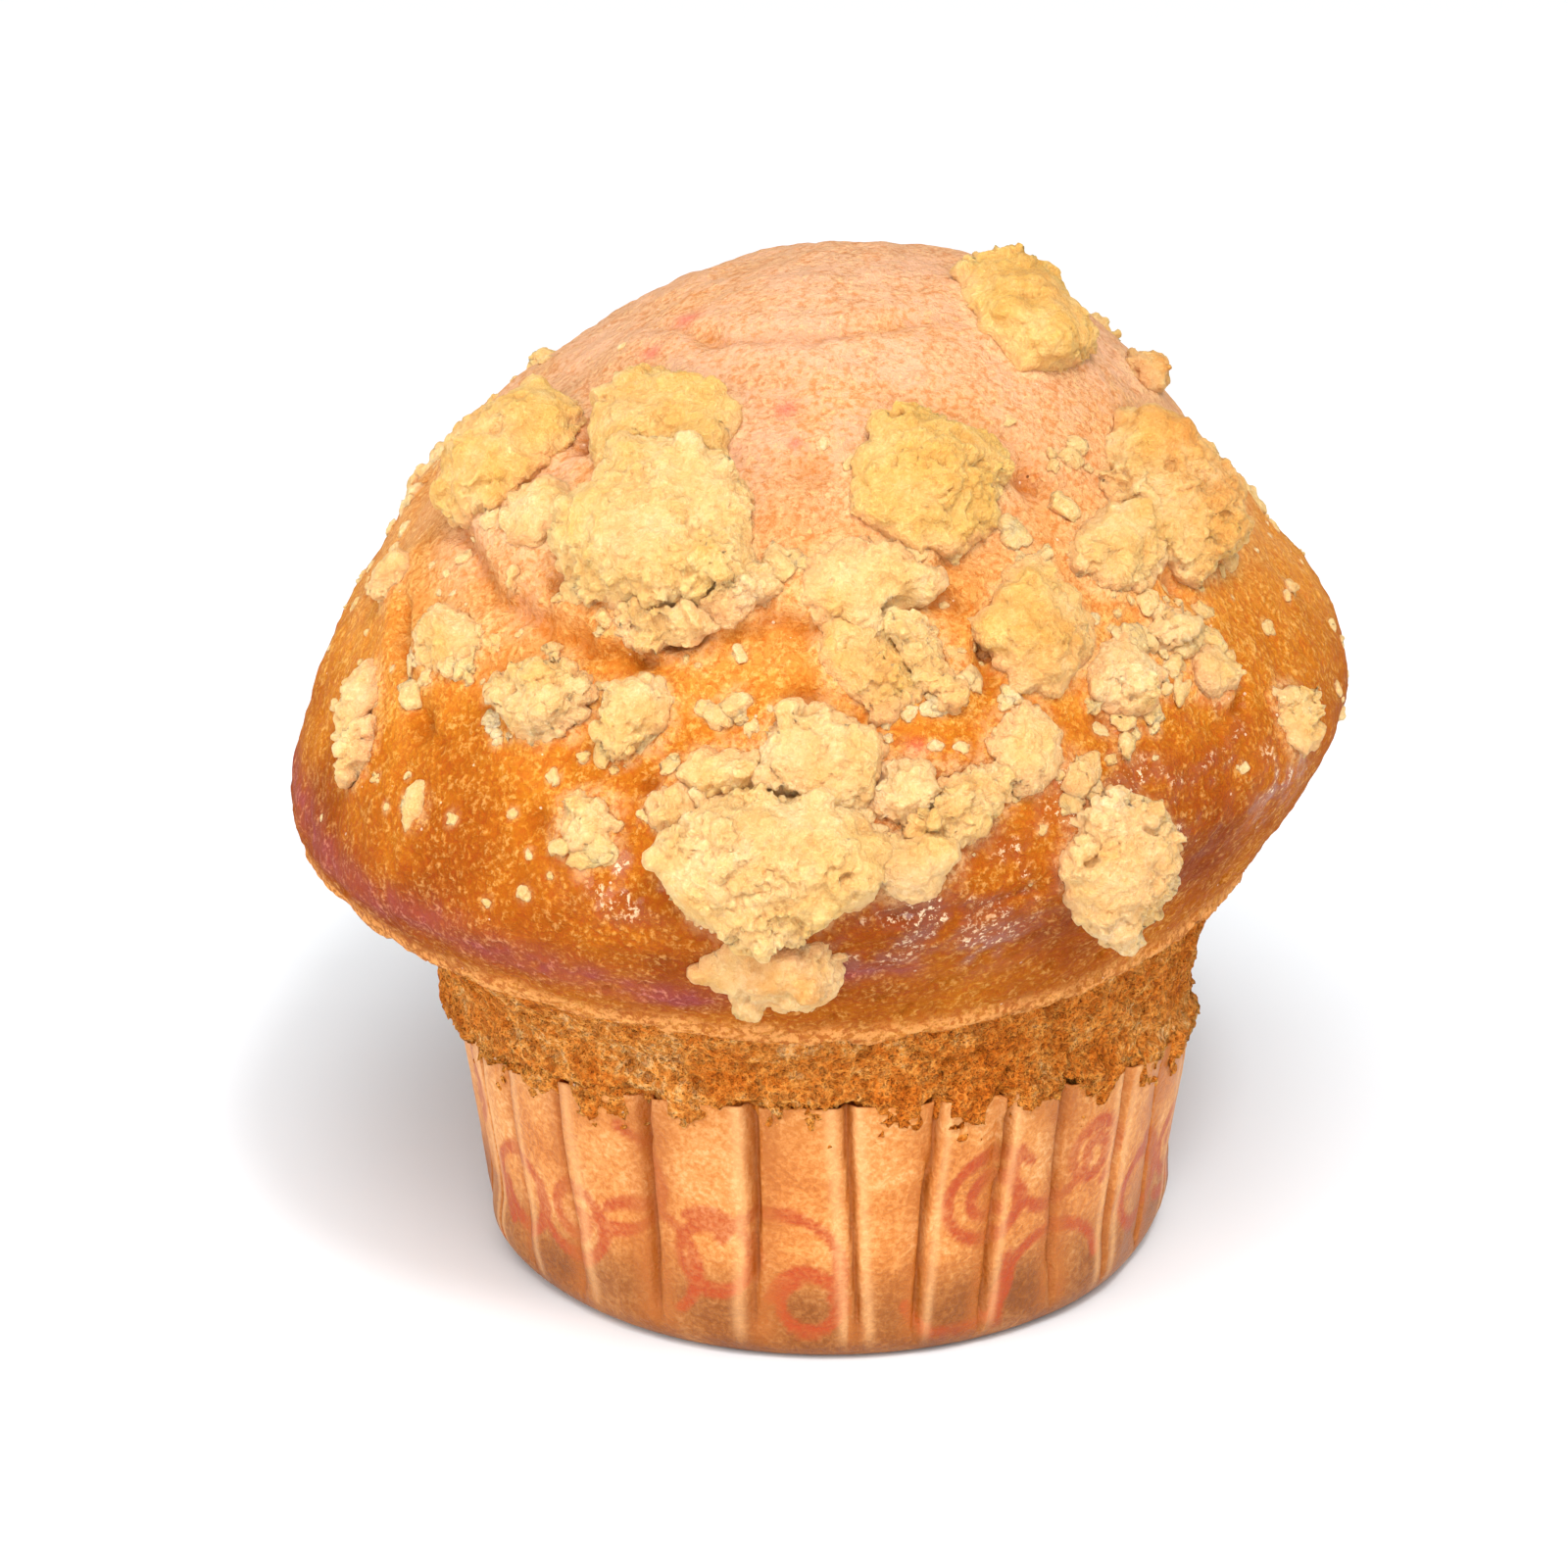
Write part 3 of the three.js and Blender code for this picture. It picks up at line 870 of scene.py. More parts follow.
def makeCrumb(node, index, crustSurface):
    draw = random.Random(500 + index)
    seed = 100 + 40 * index
    mesh = copyMesh(node)
    low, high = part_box(node)
    centre = (low + high) / 2
    outward = (centre - Vector((0, 0, crumbLook["facing"] * mm))).normalized()
    withKnobs(mesh, draw, outward)
    crumb = addObject(node.replace("crumb_", "crumble_"), mesh)
    remesh(crumb, crumbLook["grid"], 2)
    mesh = crumb.data
    points, deep, rooted = shapeCrumb(mesh, max(high - low) / mm, seed, crustSurface)

    toast, yellow = crumbTones.get(node, (draw.uniform(0.05, 0.3), draw.uniform(0.15, 0.6)))
    rise = (points - np.array(centre) / mm) @ np.array(outward)
    crown = ease(rise, 0.1 * rise.max(), rise.max())
    soft = 0.8 * layeredNoise(points, 2.2, 3, seed + 9, 0.7)
    paint(mesh, "toast", toast * (0.3 + 0.9 * crown + soft))
    paint(mesh, "yellow", yellow + 0.5 * layeredNoise(points, 3, 2, seed + 12))
    # painted shade deep in the crumb's gaps
    paint(mesh, "creviceShade", deep)
    paint(mesh, "root", ease(rooted + soft, 1.5, 0.2))
    ridePiece(crumb, [node])
    return crumb


def lumpShape(detail):
    # vertices and triangles of a ball of radius 1
    build = bmesh.new()
    bmesh.ops.create_icosphere(build, subdivisions=detail, radius=1)
    build.verts.ensure_lookup_table()
    spots = np.array([v.co for v in build.verts])
    faces = np.array([[v.index for v in f.verts] for f in build.faces])
    build.free()
    return spots, faces


def scatterLumps(name, places, seed, detail):
    # one mesh of many small lumps; each place is (point, normal, radius, flatness)
    draw = random.Random(seed)
    ball, ballFaces = lumpShape(detail)
    allPoints = []
    allFaces = []
    allDeep = []
    allRoot = []
    for index, (point, normal, radius, flatness) in enumerate(places):
        upright = Vector(normal).to_track_quat("Z", "Y").to_matrix()
        facing = upright @ Matrix.Rotation(draw.uniform(0, 6.28), 3, "Z")
        size = radius * np.array([draw.uniform(0.85, 1.35), draw.uniform(0.75, 1.15), flatness])
        lumpy = 1 + 0.45 * layeredNoise(ball + 9 * index, 0.9, 2, seed, 0.7)[:, None]
        pull = np.array([draw.uniform(-0.5, 0.5), draw.uniform(-0.5, 0.5), 0])
        local = ball * lumpy + pull * softNoise(ball + 5 * index, 0.7, seed + 1)[:, None]
        apart = 50 * index  # so that no two lumps share their noise
        scale = min(0.8, 0.3 + radius / 3)
        moved, deep = crumbly(local * size + apart, ball, seed + 7, scale)
        allPoints.append((moved - apart) @ np.array(facing).T + point)
        allFaces.append(ballFaces + len(ball) * index)
        allDeep.append(deep)
        allRoot.append(ease(local[:, 2], 0.5, -0.1))
    mesh = bpy.data.meshes.new(name)
    points = np.concatenate(allPoints)
    mesh.from_pydata((points * mm).tolist(), [], np.concatenate(allFaces).tolist())
    mesh.shade_smooth()
    thing = addObject(name, mesh)
    return thing, np.concatenate(allDeep), np.concatenate(allRoot)


def makeFines(crustSurface):
    # loose crumbs lying on the crust
    draw = random.Random(31)
    places = []
    for spot, normal, radius in fineSpots:
        start = Vector((spot + 4 * normal) * mm)
        point, facing, _, _ = crustSurface.ray_cast(start, Vector(-normal), 12 * mm)
        if point is None:
            continue
        flat = draw.uniform(0.35, 0.75)
        point = np.array(point) / mm + normal * radius * draw.uniform(-0.2, 0.1) * flat
        places.append((point, np.array(facing), radius, flat))
    fines, deep, root = scatterLumps("crumbleFines", places, 700, 3)
    points, _ = readMesh(fines.data)
    # painted shade deep in the gaps
    paint(fines.data, "creviceShade", deep)
    paint(fines.data, "root", root)
    paint(fines.data, "toast", 0.12 + 0.35 * layeredNoise(points, 9, 2, 91))
    paint(fines.data, "yellow", 0.25 + 0.5 * layeredNoise(points, 6, 2, 93))
    ridePiece(fines, [])
    return fines


# bits of sponge along the paper's cut edge, and how far down the paper they reach
residueLook = {"count": 1300, "smallest": 0.12, "largest": 0.5, "reach": 3.6}


def makeResidue():
    look = residueLook
    draw = random.Random(57)
    places = []
    for _ in range(look["count"]):
        turn = draw.uniform(-180, 180)
        drop = draw.random() ** 2.2 * look["reach"] * (1 + 0.5 * math.sin(turn * 0.31)) - 0.6
        outward = np.array(outwardAt(turn))
        radius = drawSize(draw, look)
        away = float(caseEdgeRadius(turn)) - wallTaper * drop - 0.05
        point = outward * away + np.array([0, 0, float(caseEdgeHeight(turn)) - drop])
        places.append((point, outward, radius, 0.45))
    residue, deep, root = scatterLumps("edgeCrumbs", places, 800, 2)
    mesh = residue.data
    # painted shade deep in the gaps, kept light
    paint(mesh, "creviceShade", 0.25 * np.clip(deep, 0, 1))
    paint(mesh, "root", root)
    same = np.ones(len(mesh.vertices))
    paint(mesh, "bake", 0.75 * same)
    paint(mesh, "sponge", same)
    for name in ("bloom", "pinkBand", "glaze", "berry", "lip", "dust"):
        paint(mesh, name, 0 * same)
    ridePiece(residue, [])
    return residue


# The paper case

caseLook = {
    "pleats": 27,
    "columns": 26,  # per pleat
    "rows": 54,
    "thickness": 0.2,
    "foldDepth": 1.25,
    "foldWidth": 0.06,  # half a fold's width, as a share of a pleat
    "slope": 0.75,  # how much one side of a pleat stands out over the other
    "wrinkle": 0.2,
    "raggedEdge": 0.35,
    "dish": 0.25,  # how far the foot's middle is raised
    "lowWall": 3.1,  # the height where the rounded corner becomes the wall
    "middleRadius": 29,  # of the wall, for noise that follows it round
    "printRadius": 28.5,
}

# generic curls printed round the wall: kind, turn, height, size, start angle
curls = [
    ("spiral", 26, 13.5, 4.4, 40), ("arc", 21, 6.5, 4.2, 200), ("arc", 37, 16, 3.6, 150),
    ("spiral", 46, 15, 3.2, 300), ("arc", 40, 3.8, 5, 20), ("loop", -18, 9.5, 3.2, 70),
    ("arc", -7, 8.5, 4.6, 330), ("loop", -3, 5.5, 2.6, 120), ("arc", -36, 14.5, 4.4, 250),
    ("spiral", -44, 9.5, 4.2, 160), ("arc", -30, 7.5, 4.4, 310), ("loop", 62, 9, 3.4, 30),
]


def curlPath(kind, size, start):
    # points of a stroke in the flat, as (along, up)
    turnsOfStroke = {"spiral": 1.75, "loop": 1.15, "arc": 0.5}[kind]
    steps = np.linspace(0, 1, 48)
    angle = np.radians(start) + steps * turnsOfStroke * 2 * np.pi
    reach = size * {"spiral": 1 - 0.8 * steps, "loop": 0.8 + 0.35 * steps, "arc": 1 + 0.15 * steps}[kind]
    return np.stack([reach * np.cos(angle), reach * np.sin(angle) * 1.05, 0 * angle], axis=1)


def printMask(turn, height, radius):
    # the curls repeat round the case in three sets, each with its strokes turned further
    mask = np.zeros(len(turn))
    for repeat in range(3):
        for kind, where, level, size, start in curls:
            middle = where + 120 * repeat
            along = (turn - middle + 180) % 360 - 180
            flat = np.stack([np.radians(along) * radius, height - level, 0 * turn], axis=1)
            close = np.abs(flat[:, 0]) < 2 * size
            stroke = pathDistance(flat[close], curlPath(kind, size, start + 75 * repeat))
            wide = 0.58 + 0.2 * softNoise(flat[close], 3, 5)
            mask[close] = np.maximum(mask[close], 1 - ease(stroke, wide * 0.75, wide * 1.35))
    return mask


def caseOuterRadius(turn, height):
    point, _ = lookIn(caseSurface, turn, height)
    return math.hypot(point.x, point.y) / mm


def drawEach(pleats, which, pick):
    # one random value for each pleat, handed out to the columns that belong to it
    return np.array([pick() for _ in range(pleats)])[which]


def caseOutline(turn, top):
    # turns, radii and heights of each ring: the foot, a rounded corner, then the wall
    look = caseLook
    lowWall = look["lowWall"]
    phase = np.arange(len(turn)) / look["columns"]
    ridgeTurns = np.array([np.interp(pleat + 0.5, phase, turn) for pleat in range(look["pleats"])])
    bottom = [v.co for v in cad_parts["paper_case"].data.vertices if v.co.z < 0.01 * mm]
    foot = max(spot.xy.length for spot in bottom) / mm
    ridgesLow = [caseOuterRadius(ridge, lowWall) for ridge in ridgeTurns]
    ridgesHigh = [caseOuterRadius(ridge, caseEdgeHeight(ridge) - 0.2) for ridge in ridgeTurns]
    lowRidge = np.interp(turn, ridgeTurns, ridgesLow, period=360)
    highRidge = np.interp(turn, ridgeTurns, ridgesHigh, period=360)
    angle = phase / look["pleats"] * 2 * np.pi
    rings = []
    for share in (0.02, 0.3, 0.6, 0.85, 0.95):
        aroundFoot = np.stack([share * 9 + 0 * angle, 3 * np.sin(angle), 3 * np.cos(angle)], 1)
        dish = look["dish"] * (1 - share) + 0.04 * softNoise(aroundFoot, 1.0)
        rings.append(np.stack([turn, share * foot + 0 * turn, np.maximum(dish, 0)], axis=1))
    for share in np.linspace(0, 1, 9)[:-1]:
        bend = share * np.pi / 2
        radius = foot + (lowRidge - foot) * np.sin(bend)
        level = lowWall * (1 - np.cos(bend)) * 0.999
        rings.append(np.stack([turn, radius, level + 0 * turn], axis=1))
    for share in np.linspace(0, 1, look["rows"]):
        level = lowWall + (top - lowWall) * share
        radius = lowRidge + (highRidge - lowRidge) * share
        rings.append(np.stack([turn, radius, level], axis=1))
    return rings


def joinRings(spots, ringCount, columns, middleHeight):
    # squares between the rings, and a fan of triangles that closes the foot
    faces = []
    for ring in range(ringCount - 1):
        for column in range(columns):
            a = ring * columns + column
            b = ring * columns + (column + 1) % columns
            faces.append((a, b, b + columns, a + columns))
    middle = len(spots)
    faces += [(middle, (column + 1) % columns, column) for column in range(columns)]
    mesh = bpy.data.meshes.new("paperCase")
    mesh.from_pydata((np.vstack([spots, [0, 0, middleHeight]]) * mm).tolist(), [], faces)
    mesh.shade_smooth()
    return mesh


def makeCase():
    look = caseLook
    pleats = look["pleats"]
    columns = pleats * look["columns"]
    draw = random.Random(12)
    phase = np.arange(columns) / look["columns"]
    angle = phase / pleats * 2 * np.pi
    turn = np.degrees(angle + 0.05 * np.sin(3 * angle + 1) + 0.03 * np.sin(5 * angle + 2.2))
    across = phase - np.round(phase)
    along = phase - np.floor(phase)
    whichFold = np.round(phase).astype(int) % pleats
    whichPleat = np.floor(phase).astype(int) % pleats
    depth = drawEach(pleats, whichFold, lambda: draw.uniform(0.7, 1.1)) * look["foldDepth"]
    lean = drawEach(pleats, whichFold, lambda: draw.uniform(-0.2, 0.2))
    steep = drawEach(pleats, whichFold, lambda: draw.choice((0.6, 1.5)))
    topStep = drawEach(pleats, whichPleat, lambda: draw.uniform(-0.5, 0.5))
    slant = drawEach(pleats, whichPleat, lambda: draw.choice((1, 1, 1, -0.7)) * draw.uniform(0.6, 1.2))
    top = caseEdgeHeight(turn) + look["raggedEdge"] * topStep

    rings = caseOutline(turn, top)
    turn, radius, level = np.concatenate(rings).T
    perColumn = (across, along, depth, lean, steep, slant, top)
    across, along, depth, lean, steep, slant, top = [np.tile(values, len(rings)) for values in perColumn]
    rowShare = np.clip((level - look["lowWall"]) / (top - look["lowWall"]), 0, 1)
    nearTop = ease(rowShare, 0.75, 1)
    onWall = turnedPoints(turn, look["middleRadius"], level)
    wall = ease(level, 0.6, 3.5)

    # each pleat leans a little, its fold is steeper on one side and its flat stands out on the other
    drift = lean * (rowShare - 0.5) + 0.045 * layeredNoise(onWall, 7, 3, 3)
    fromFold = across - drift
    width = look["foldWidth"] * (0.8 + 0.5 * rowShare)
    leftSide = 1 - ease(-fromFold, width * 0.15 * steep, width * steep)
    rightSide = 1 - ease(fromFold, width * 0.15 / steep, width / steep)
    fold = np.where(fromFold < 0, leftSide, rightSide) * ease(level, 0.9, 5.5)
    pleatShape = look["slope"] * (slant * (0.5 - along) - 0.35 * (2 * along - 1) ** 2)
    radius = radius - depth * fold * (0.7 + 0.3 * rowShare)
    radius += wall * pleatShape * (0.6 + 0.4 * rowShare - 0.6 * nearTop)

    # dents and wrinkles of soft, greasy paper
    soft = layeredNoise(onWall * (1, 1, 0.35), 3.2, 3, 8)
    radius += 0.8 * bump(level - 4.2, 2.6) * ease(softNoise(onWall, 11, 31), -0.3, 0.8)
    radius += wall * look["wrinkle"] * soft + 0.05 * wall * layeredNoise(onWall, 1.2, 2, 15)
    radius += 0.2 * nearTop * softNoise(onWall * (1, 1, 0), 5, 18)
    level = level + 0.12 * ease(rowShare, 0.96, 1) * softNoise(onWall, 0.9, 21)

    spots = turnedPoints(turn, radius, np.maximum(level, 0))
    mesh = joinRings(spots, len(rings), columns, look["dish"])
    masks = {
        # painted shade in each fold's groove
        "fold": fold * (0.6 + 0.4 * depth),
        "shade": wall * bump(fromFold + 0.08 * np.sign(slant), 0.16),
        # painted highlight along one side of each fold
        "ridge": wall * bump(fromFold - 0.15 * np.sign(slant), 0.07),
        "print": printMask(turn, level, look["printRadius"]) * wall,
        # darker towards the bottom: partly oil soaked in, partly painted shade of the rounded corner
        "low": (1 - ease(level, 4, 11)) * (0.95 + 0.35 * layeredNoise(onWall, 5, 2, 27)),
        "high": ease(rowShare, 0.72, 1.0),
    }
    for name, values in masks.items():
        paint(mesh, name, np.append(values, 0))
    case = addObject("paperCase", mesh)
    sheet = case.modifiers.new("paperThickness", "SOLIDIFY")
    sheet.thickness = look["thickness"] * mm
    sheet.offset = -1
    ridePiece(case, ["paper_case"])
    return case


# Materials. Colours are hex codes, and a list is a ramp of places from 0 to 1 with their colours.

crustColours = {
    "baked": [
        (0.0, "DEAA7A"), (0.22, "E0A25A"), (0.4, "DC963A"),
        (0.6, "C67A1A"), (0.78, "AE600C"), (1.0, "8A3E02"),
    ],
    "bloom": "DAA684",
    # painted highlight on grain tops
    "grainTopHighlight": "F6C47C",
    # painted shade in the hollows between grains
    "grainDipShade": "DCAA70",
    "pinkBandDeep": "94403C",
    "pinkBandPale": "C46E66",
    "berry": "E05452",
    "dust": "F2C68C",
    "lip": "EDA45C",
    "sponge": [(0.0, "BC5A0C"), (0.35, "E07C24"), (0.7, "F29E46"), (1.0, "FECA86")],
    # painted shade inside the sponge's holes
    "spongeHoleShade": "A04A06",
    "glaze": "CC8440",
    # painted glints on wet grain tops
    "sugarAndGlint": "FCE0B8",
    # painted shade in creases, dents and holes
    "creviceShade": "A85408",
    # painted glints: scattered pale points
    "glintFleck": "FBE3C4",
    "burntSpeck": "4A2410",
}


def crustColour(tree, tone, grains):
    # the baked crown, from its colour by height, with painted highlights on grain tops and painted shade
    # between them, down to dust and the pinkish band
    hues = crustColours
    value = tone["Value"]
    grain = tone["Grain"]
    bake = calc(tree, "MULTIPLY_ADD", calc(tree, "SUBTRACT", value, 0.5), 0.24, painted(tree, "bake"))
    crust = ramp(tree, bake, hues["baked"])
    bloomShare = calc(tree, "MULTIPLY", painted(tree, "bloom"), spread(tree, value, 0.15, 0.85, 0.25, 0.85))
    crust = blend(tree, bloomShare, crust, colour(hues["bloom"]))
    # painted highlight: grain tops are made lighter
    lit = spread(tree, grains["Height"], 0.45, 0.85, 0.0, 0.25)
    crust = blend(tree, lit, crust, colour(hues["grainTopHighlight"]))
    # painted shade: the hollows between grains are made darker
    dips = spread(tree, calc(tree, "SUBTRACT", 1.0, grains["Height"]), 0.3, 0.85)
    darker = blend(tree, dips, crust, colour(hues["grainDipShade"]), "MULTIPLY")
    contrast = calc(tree, "MULTIPLY_ADD", bloomShare, -0.8, spread(tree, grain, 0.0, 1.0, 0.95, 0.45))
    crust = blend(tree, contrast, crust, darker)
    pinkBandShare = calc(tree, "MULTIPLY", painted(tree, "pinkBand"), spread(tree, value, 0.1, 0.75, 0.55, 1.0))
    onGrains = spread(tree, grains["Height"], 0.3, 0.8)
    pinkBandColour = blend(tree, onGrains, colour(hues["pinkBandDeep"]), colour(hues["pinkBandPale"]))
    crust = blend(tree, pinkBandShare, crust, pinkBandColour)
    crust = tint(tree, crust, "berry", 0.55, hues["berry"])
    crust = tint(tree, crust, "dust", spread(tree, grain, 0.1, 0.9, 0.15, 0.65), hues["dust"])
    return tint(tree, crust, "lip", spread(tree, grain, 0.2, 0.8, 0.2, 0.9), hues["lip"])


def makeCrustMaterial():
    hues = crustColours
    material, tree, surface = newMaterial("bakedCrust", {
        "Subsurface Weight": 0.15,
        "Subsurface Scale": 0.0011,
        "Subsurface Radius": (1.0, 0.5, 0.2),
        "IOR": 1.42,
        "Specular IOR Level": 0.12,
        "Coat Roughness": 0.09,
    })
    where = millimetres(tree)
    mottling = {"Position": where, "Patch Size": 5.0, "Grain Size": 0.6, "Grain Share": 0.45}
    tone = placeGroup(tree, mottle, mottling)
    grains = placeGroup(tree, sand, {"Position": where, "Grain Size": 0.6})
    holes = placeGroup(tree, pores, {"Position": where, "Size": 0.85, "Openness": 0.9, "Roughness": 0.8})
    sponge = ramp(tree, tone["Value"], hues["sponge"])
    # painted shade inside the sponge's holes
    sponge = tint(tree, sponge, holes["Holes"], 0.5, hues["spongeHoleShade"])
    spongeShare = painted(tree, "sponge")
    mixed = blend(tree, spongeShare, crustColour(tree, tone, grains), sponge)

    # butter and sugar that soaked in, with painted glints on the wettest grain tops; then painted shade in
    # creases, painted glints as pale flecks, and burnt specks
    glaze = painted(tree, "glaze")
    mixed = tint(tree, mixed, glaze, 0.45, hues["glaze"], "MULTIPLY")
    wettest = spread(tree, glaze, 0.3, 0.95)
    # painted glints: pale specks on the wettest grain tops
    mixed = tint(tree, mixed, wettest, spread(tree, grains["Tops"], 0.6, 0.76, 0.0, 0.8), hues["sugarAndGlint"])
    # painted shade in creases, dents and holes
    mixed = tint(tree, mixed, "creviceShade", 0.6, hues["creviceShade"])
    # painted glints: scattered pale points on the crust
    mixed = tint(tree, mixed, sprinkle(tree, where, 1.3, 0.12, 0.12), 0.45, hues["glintFleck"])
    mixed = tint(tree, mixed, sprinkle(tree, where, 7.0, 0.14, 0.3), 0.8, hues["burntSpeck"])

    dull = spread(tree, tone["Grain"], 0.0, 1.0, 0.62, 0.85)
    wet = calc(tree, "MULTIPLY", glaze, 0.35)
    rough = calc(tree, "SUBTRACT", calc(tree, "MULTIPLY_ADD", spongeShare, 0.12, dull), wet, clamp=True)
    skin = roughen(tree, grains["Height"], 0.8, 0.32)
    torn = calc(tree, "MULTIPLY", holes["Height"], spongeShare)
    feed(tree, surface, {
        "Base Color": mixed,
        "Roughness": rough,
        "Coat Weight": calc(tree, "MULTIPLY", glaze, 0.7),
        "Normal": roughen(tree, torn, 1.0, 0.6, Normal=skin),
    })
    return material


crumbleColours = {
    "pale": [(0.0, "E8BE82"), (0.5, "F0CE96"), (1.0, "F7DEB0")],
    "yellow": [(0.0, "DCAC54"), (0.5, "E6BC68"), (1.0, "EECC80")],
    "toast": "D48E3C",
    "root": "E6AC78",
    # painted shade in the hollows between grains
    "grainDipShade": "D8A468",
    # painted shade in the gaps between blocks and grains
    "creviceShade": "E0A458",
    "speck": "8A5A2A",
}


def makeCrumbleMaterial():
    hues = crumbleColours
    material, tree, surface = newMaterial("crumble", {
        "Subsurface Weight": 0.36,
        "Subsurface Scale": 0.0011,
        "Subsurface Radius": (1.0, 0.75, 0.45),
        "Specular IOR Level": 0.25,
    })
    where = millimetres(tree)
    mottling = {"Position": where, "Patch Size": 2.6, "Grain Size": 0.45, "Grain Share": 0.4}
    tone = placeGroup(tree, mottle, mottling)
    value = tone["Value"]
    grains = placeGroup(tree, sand, {"Position": where, "Grain Size": 0.42})
    pale = ramp(tree, value, hues["pale"])
    body = blend(tree, painted(tree, "yellow"), pale, ramp(tree, value, hues["yellow"]))
    body = tint(tree, body, "toast", spread(tree, value, 0.0, 1.0, 0.95, 0.55), hues["toast"])
    body = tint(tree, body, "root", spread(tree, value, 0.1, 0.9, 0.75, 0.35), hues["root"])
    # painted shade: the hollows between grains are made darker
    dips = calc(tree, "SUBTRACT", 1.0, grains["Height"])
    body = tint(tree, body, dips, 0.35, hues["grainDipShade"], "MULTIPLY")
    # painted shade in the gaps between blocks and grains
    body = tint(tree, body, "creviceShade", 0.4, hues["creviceShade"])
    body = tint(tree, body, sprinkle(tree, where, 3.6, 0.11, 0.35), 0.6, hues["speck"])
    feed(tree, surface, {
        "Base Color": body,
        "Roughness": spread(tree, tone["Grain"], 0.0, 1.0, 0.62, 0.88),
        "Normal": roughen(tree, grains["Height"], 0.85, 0.3),
    })
    return material


paperColours = {
    "paper": [(0.0, "AA5C18"), (0.35, "C2742E"), (0.7, "D48E4A"), (1.0, "E4A86E")],
    # darker towards the bottom: partly oil soaked in, partly painted shade of the rounded corner
    "low": "783E04",
    "soaked": "B86C22",
    "ink": "A83C08",
    # painted highlight along one side of each fold
    "ridge": "F2BC80",
    "shade": "A85C1C",
    # painted shade in each fold's groove
    "fold": "984E14",
    # painted glints on the greasy paper
    "spark": "FCE4DC",
}


def makePaperMaterial():
    hues = paperColours
    material, tree, surface = newMaterial("greasyPaper", {
        "Subsurface Weight": 0.1,
        "Subsurface Scale": 0.0008,
        "Subsurface Radius": (1.0, 0.55, 0.25),
        "Specular IOR Level": 0.3,
    })
    where = millimetres(tree)
    mottling = {"Position": where, "Patch Size": 6.0, "Grain Size": 0.45, "Grain Share": 0.5}
    tone = placeGroup(tree, mottle, mottling)
    value = tone["Value"]
    paper = ramp(tree, value, hues["paper"])
    # darker towards the bottom: partly oil soaked in, partly painted shade of the rounded corner
    paper = tint(tree, paper, "low", spread(tree, value, 0.0, 1.0, 1.0, 0.7), hues["low"])
    paper = tint(tree, paper, "high", spread(tree, value, 0.2, 0.8, 0.7, 0.2), hues["soaked"])
    paper = tint(tree, paper, "print", spread(tree, value, 0.1, 0.9, 0.95, 0.6), hues["ink"])
    # painted highlight along one side of each fold
    paper = tint(tree, paper, "ridge", 0.4, hues["ridge"])
    paper = tint(tree, paper, "shade", spread(tree, value, 0.0, 1.0, 0.85, 0.45), hues["shade"])
    # painted shade in each fold's groove
    paper = tint(tree, paper, "fold", 0.75, hues["fold"])
    # painted glints on the greasy paper
    paper = tint(tree, paper, sprinkle(tree, where, 5.5, 0.28, 0.22), 0.6, hues["spark"])
    feed(tree, surface, {
        "Base Color": paper,
        "Roughness": spread(tree, value, 0.0, 1.0, 0.34, 0.52),
        "Normal": roughen(tree, tone["Grain"], 0.5, 0.12),
    })
    return material


# Stage: a pale floor, soft light and the camera

studio = {
    "floorSize": 6000,
    "floorColour": (0.77, 0.79, 0.81, 1),
    "elevation": 22,
    "distance": 420,
    "aimHeight": 40,
    "lens": 121,
    "shiftX": -0.0269,
    "shiftY": -0.0169,
    "sky": 0.45,
    # round lamps: turn, elevation, distance and size in metres, power
    "lamps": {
        "key": (4, 56, 3, 2, 80),
        "left": (-62, 16, 1.5, 1, 11),
        "right": (66, 16, 1.5, 1, 3.2),
        "front": (0, 8, 3, 1.6, 44),
        "back": (176, 30, 3, 2, 6),
        "spark": (18, 58, 1.4, 0.2, 5),
    },
}


def addLamp(name, turn, elevation, distance, size, power):
    light = bpy.data.lights.new(name, "AREA")
    light.shape = "DISK"
    light.size = size
    light.energy = power
    lamp = bpy.data.objects.new(name, light)
    x, y, _ = outwardAt(turn)
    rise = math.radians(elevation)
    away = Vector((x * math.cos(rise), y * math.cos(rise), math.sin(rise)))
    lamp.location = Vector((0, 0, studio["aimHeight"] * mm)) + away * distance
    lamp.rotation_euler = away.to_track_quat("Z", "Y").to_euler()
    scene.collection.objects.link(lamp)


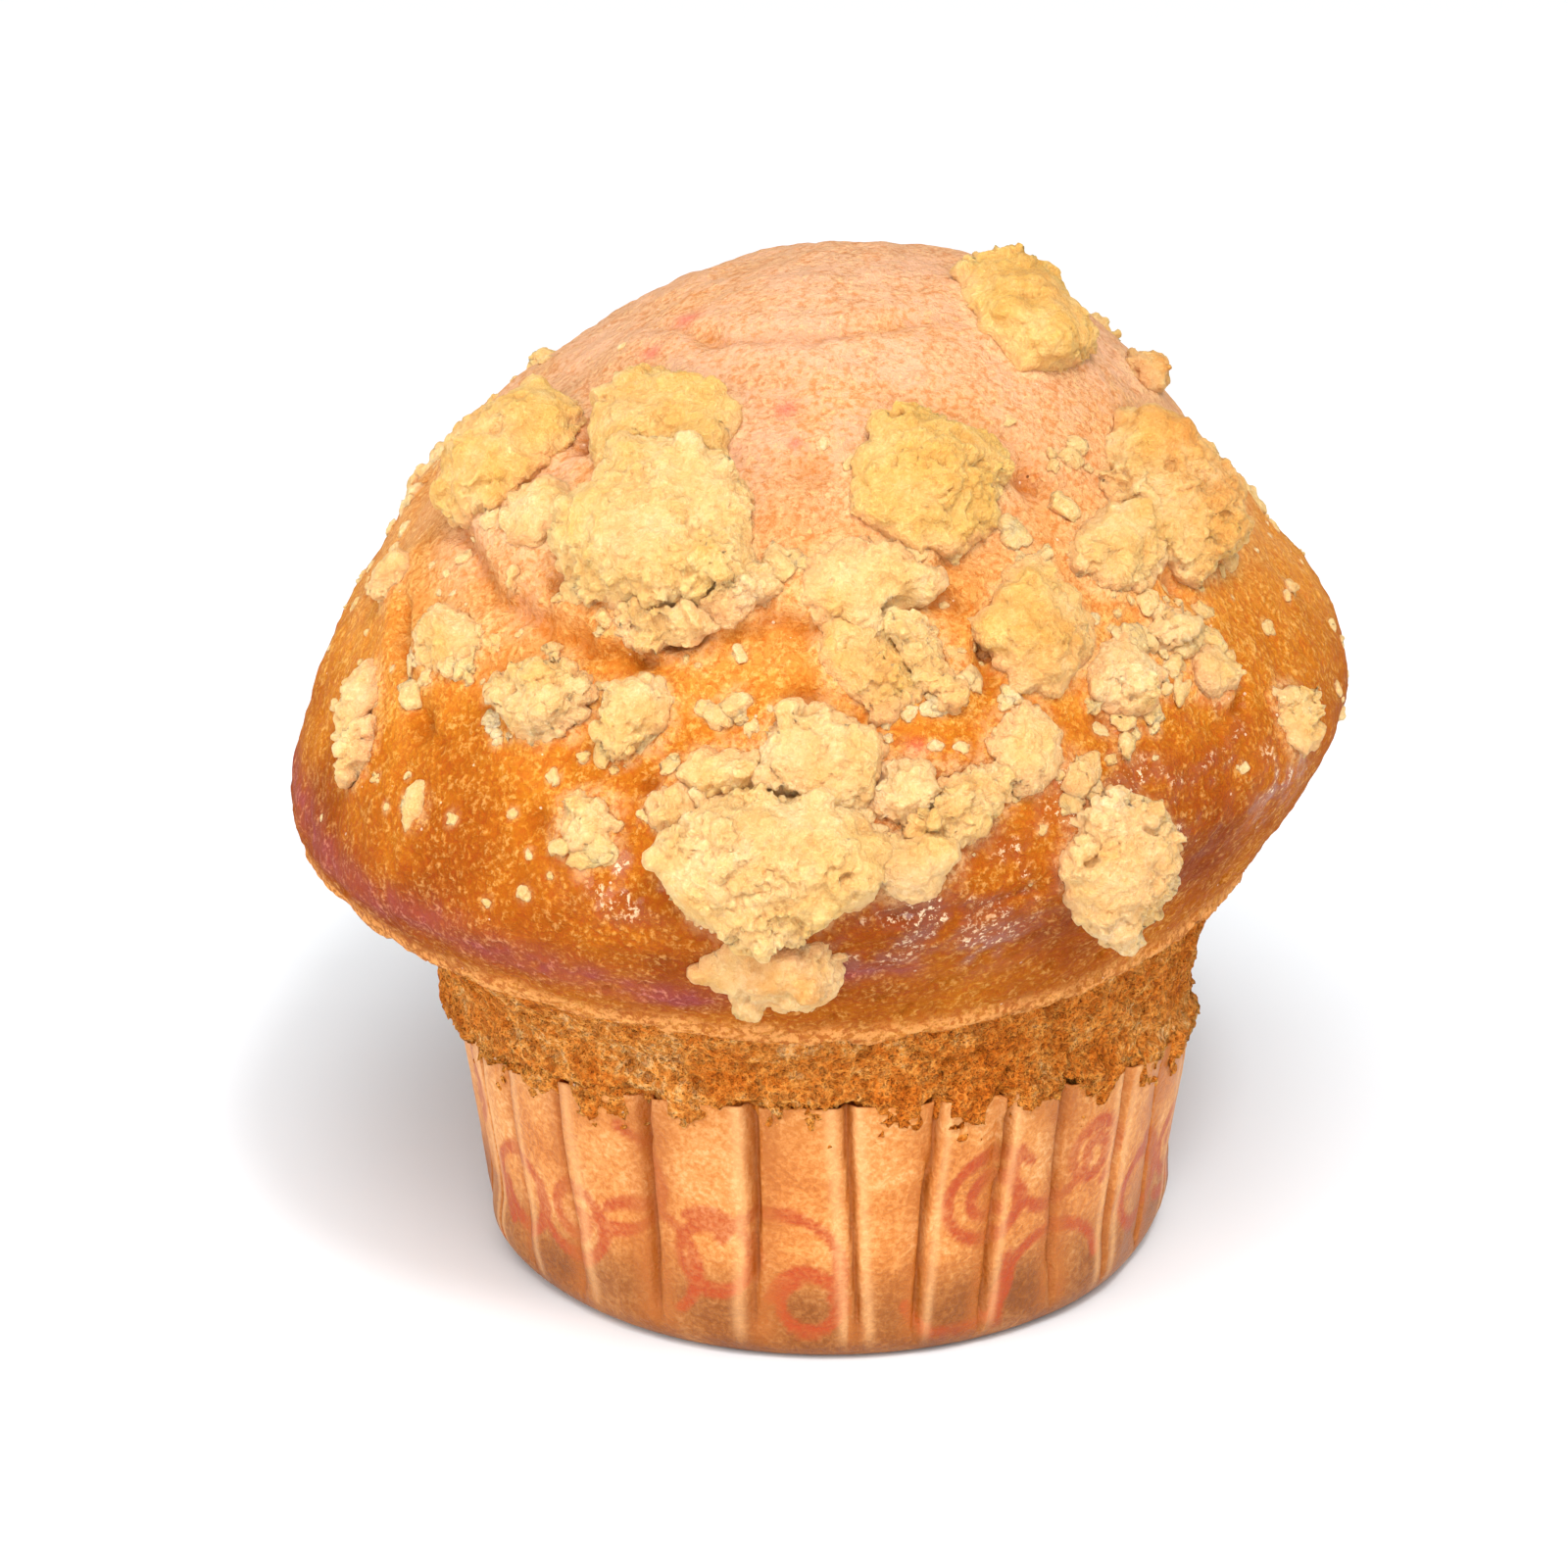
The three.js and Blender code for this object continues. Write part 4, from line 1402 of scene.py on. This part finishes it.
def makeFloor():
    half = studio["floorSize"] * mm / 2
    corners = [(-half, -half, 0), (half, -half, 0), (half, half, 0), (-half, half, 0)]
    mesh = bpy.data.meshes.new("floor")
    mesh.from_pydata(corners, [], [(0, 1, 2, 3)])
    floor = addObject("floor", mesh)
    finish = {"Base Color": studio["floorColour"], "Roughness": 0.7, "Specular IOR Level": 0.1}
    material, _, _ = newMaterial("paleFloor", finish)
    mesh.materials.append(material)


def makeSky():
    world = bpy.data.worlds.new("softWhite")
    world.use_nodes = True
    background = world.node_tree.nodes["Background"]
    feed(world.node_tree, background, {"Color": (1, 1, 1, 1), "Strength": studio["sky"]})
    scene.world = world


def makeCamera():
    look = studio
    lens = bpy.data.cameras.new("camera")
    lens.lens = look["lens"]
    lens.shift_x = look["shiftX"]
    lens.shift_y = look["shiftY"]
    camera = bpy.data.objects.new("camera", lens)
    tilt = math.radians(look["elevation"])
    reach = look["distance"] * mm
    camera.location = (0, -reach * math.cos(tilt), look["aimHeight"] * mm + reach * math.sin(tilt))
    camera.rotation_euler = (math.pi / 2 - tilt, 0, 0)
    scene.collection.objects.link(camera)
    scene.camera = camera
    scene.view_settings.view_transform = "Standard"


makeFloor()
makeSky()
for name, lamp in studio["lamps"].items():
    addLamp(name, *lamp)
makeCamera()
print("stage is set")
crust = makeCrust()
print("crust:", len(crust.data.vertices), "points")
crustSurface = surfaceOf(crust.data)
crumbs = [makeCrumb(node, index, crustSurface) for index, node in enumerate(crumbNodes)]
print("crumbs:", len(crumbs), "with", sum(len(c.data.vertices) for c in crumbs), "points")
fines = makeFines(crustSurface)
residue = makeResidue()
print("loose bits:", len(fines.data.vertices) + len(residue.data.vertices), "points")
case = makeCase()
print("paper case:", len(case.data.vertices), "points")

crustMaterial = makeCrustMaterial()
crumbleMaterial = makeCrumbleMaterial()
paperMaterial = makePaperMaterial()
for piece in (crust, residue):
    piece.data.materials.append(crustMaterial)
for piece in crumbs + [fines]:
    piece.data.materials.append(crumbleMaterial)
case.data.materials.append(paperMaterial)
print("materials are on")
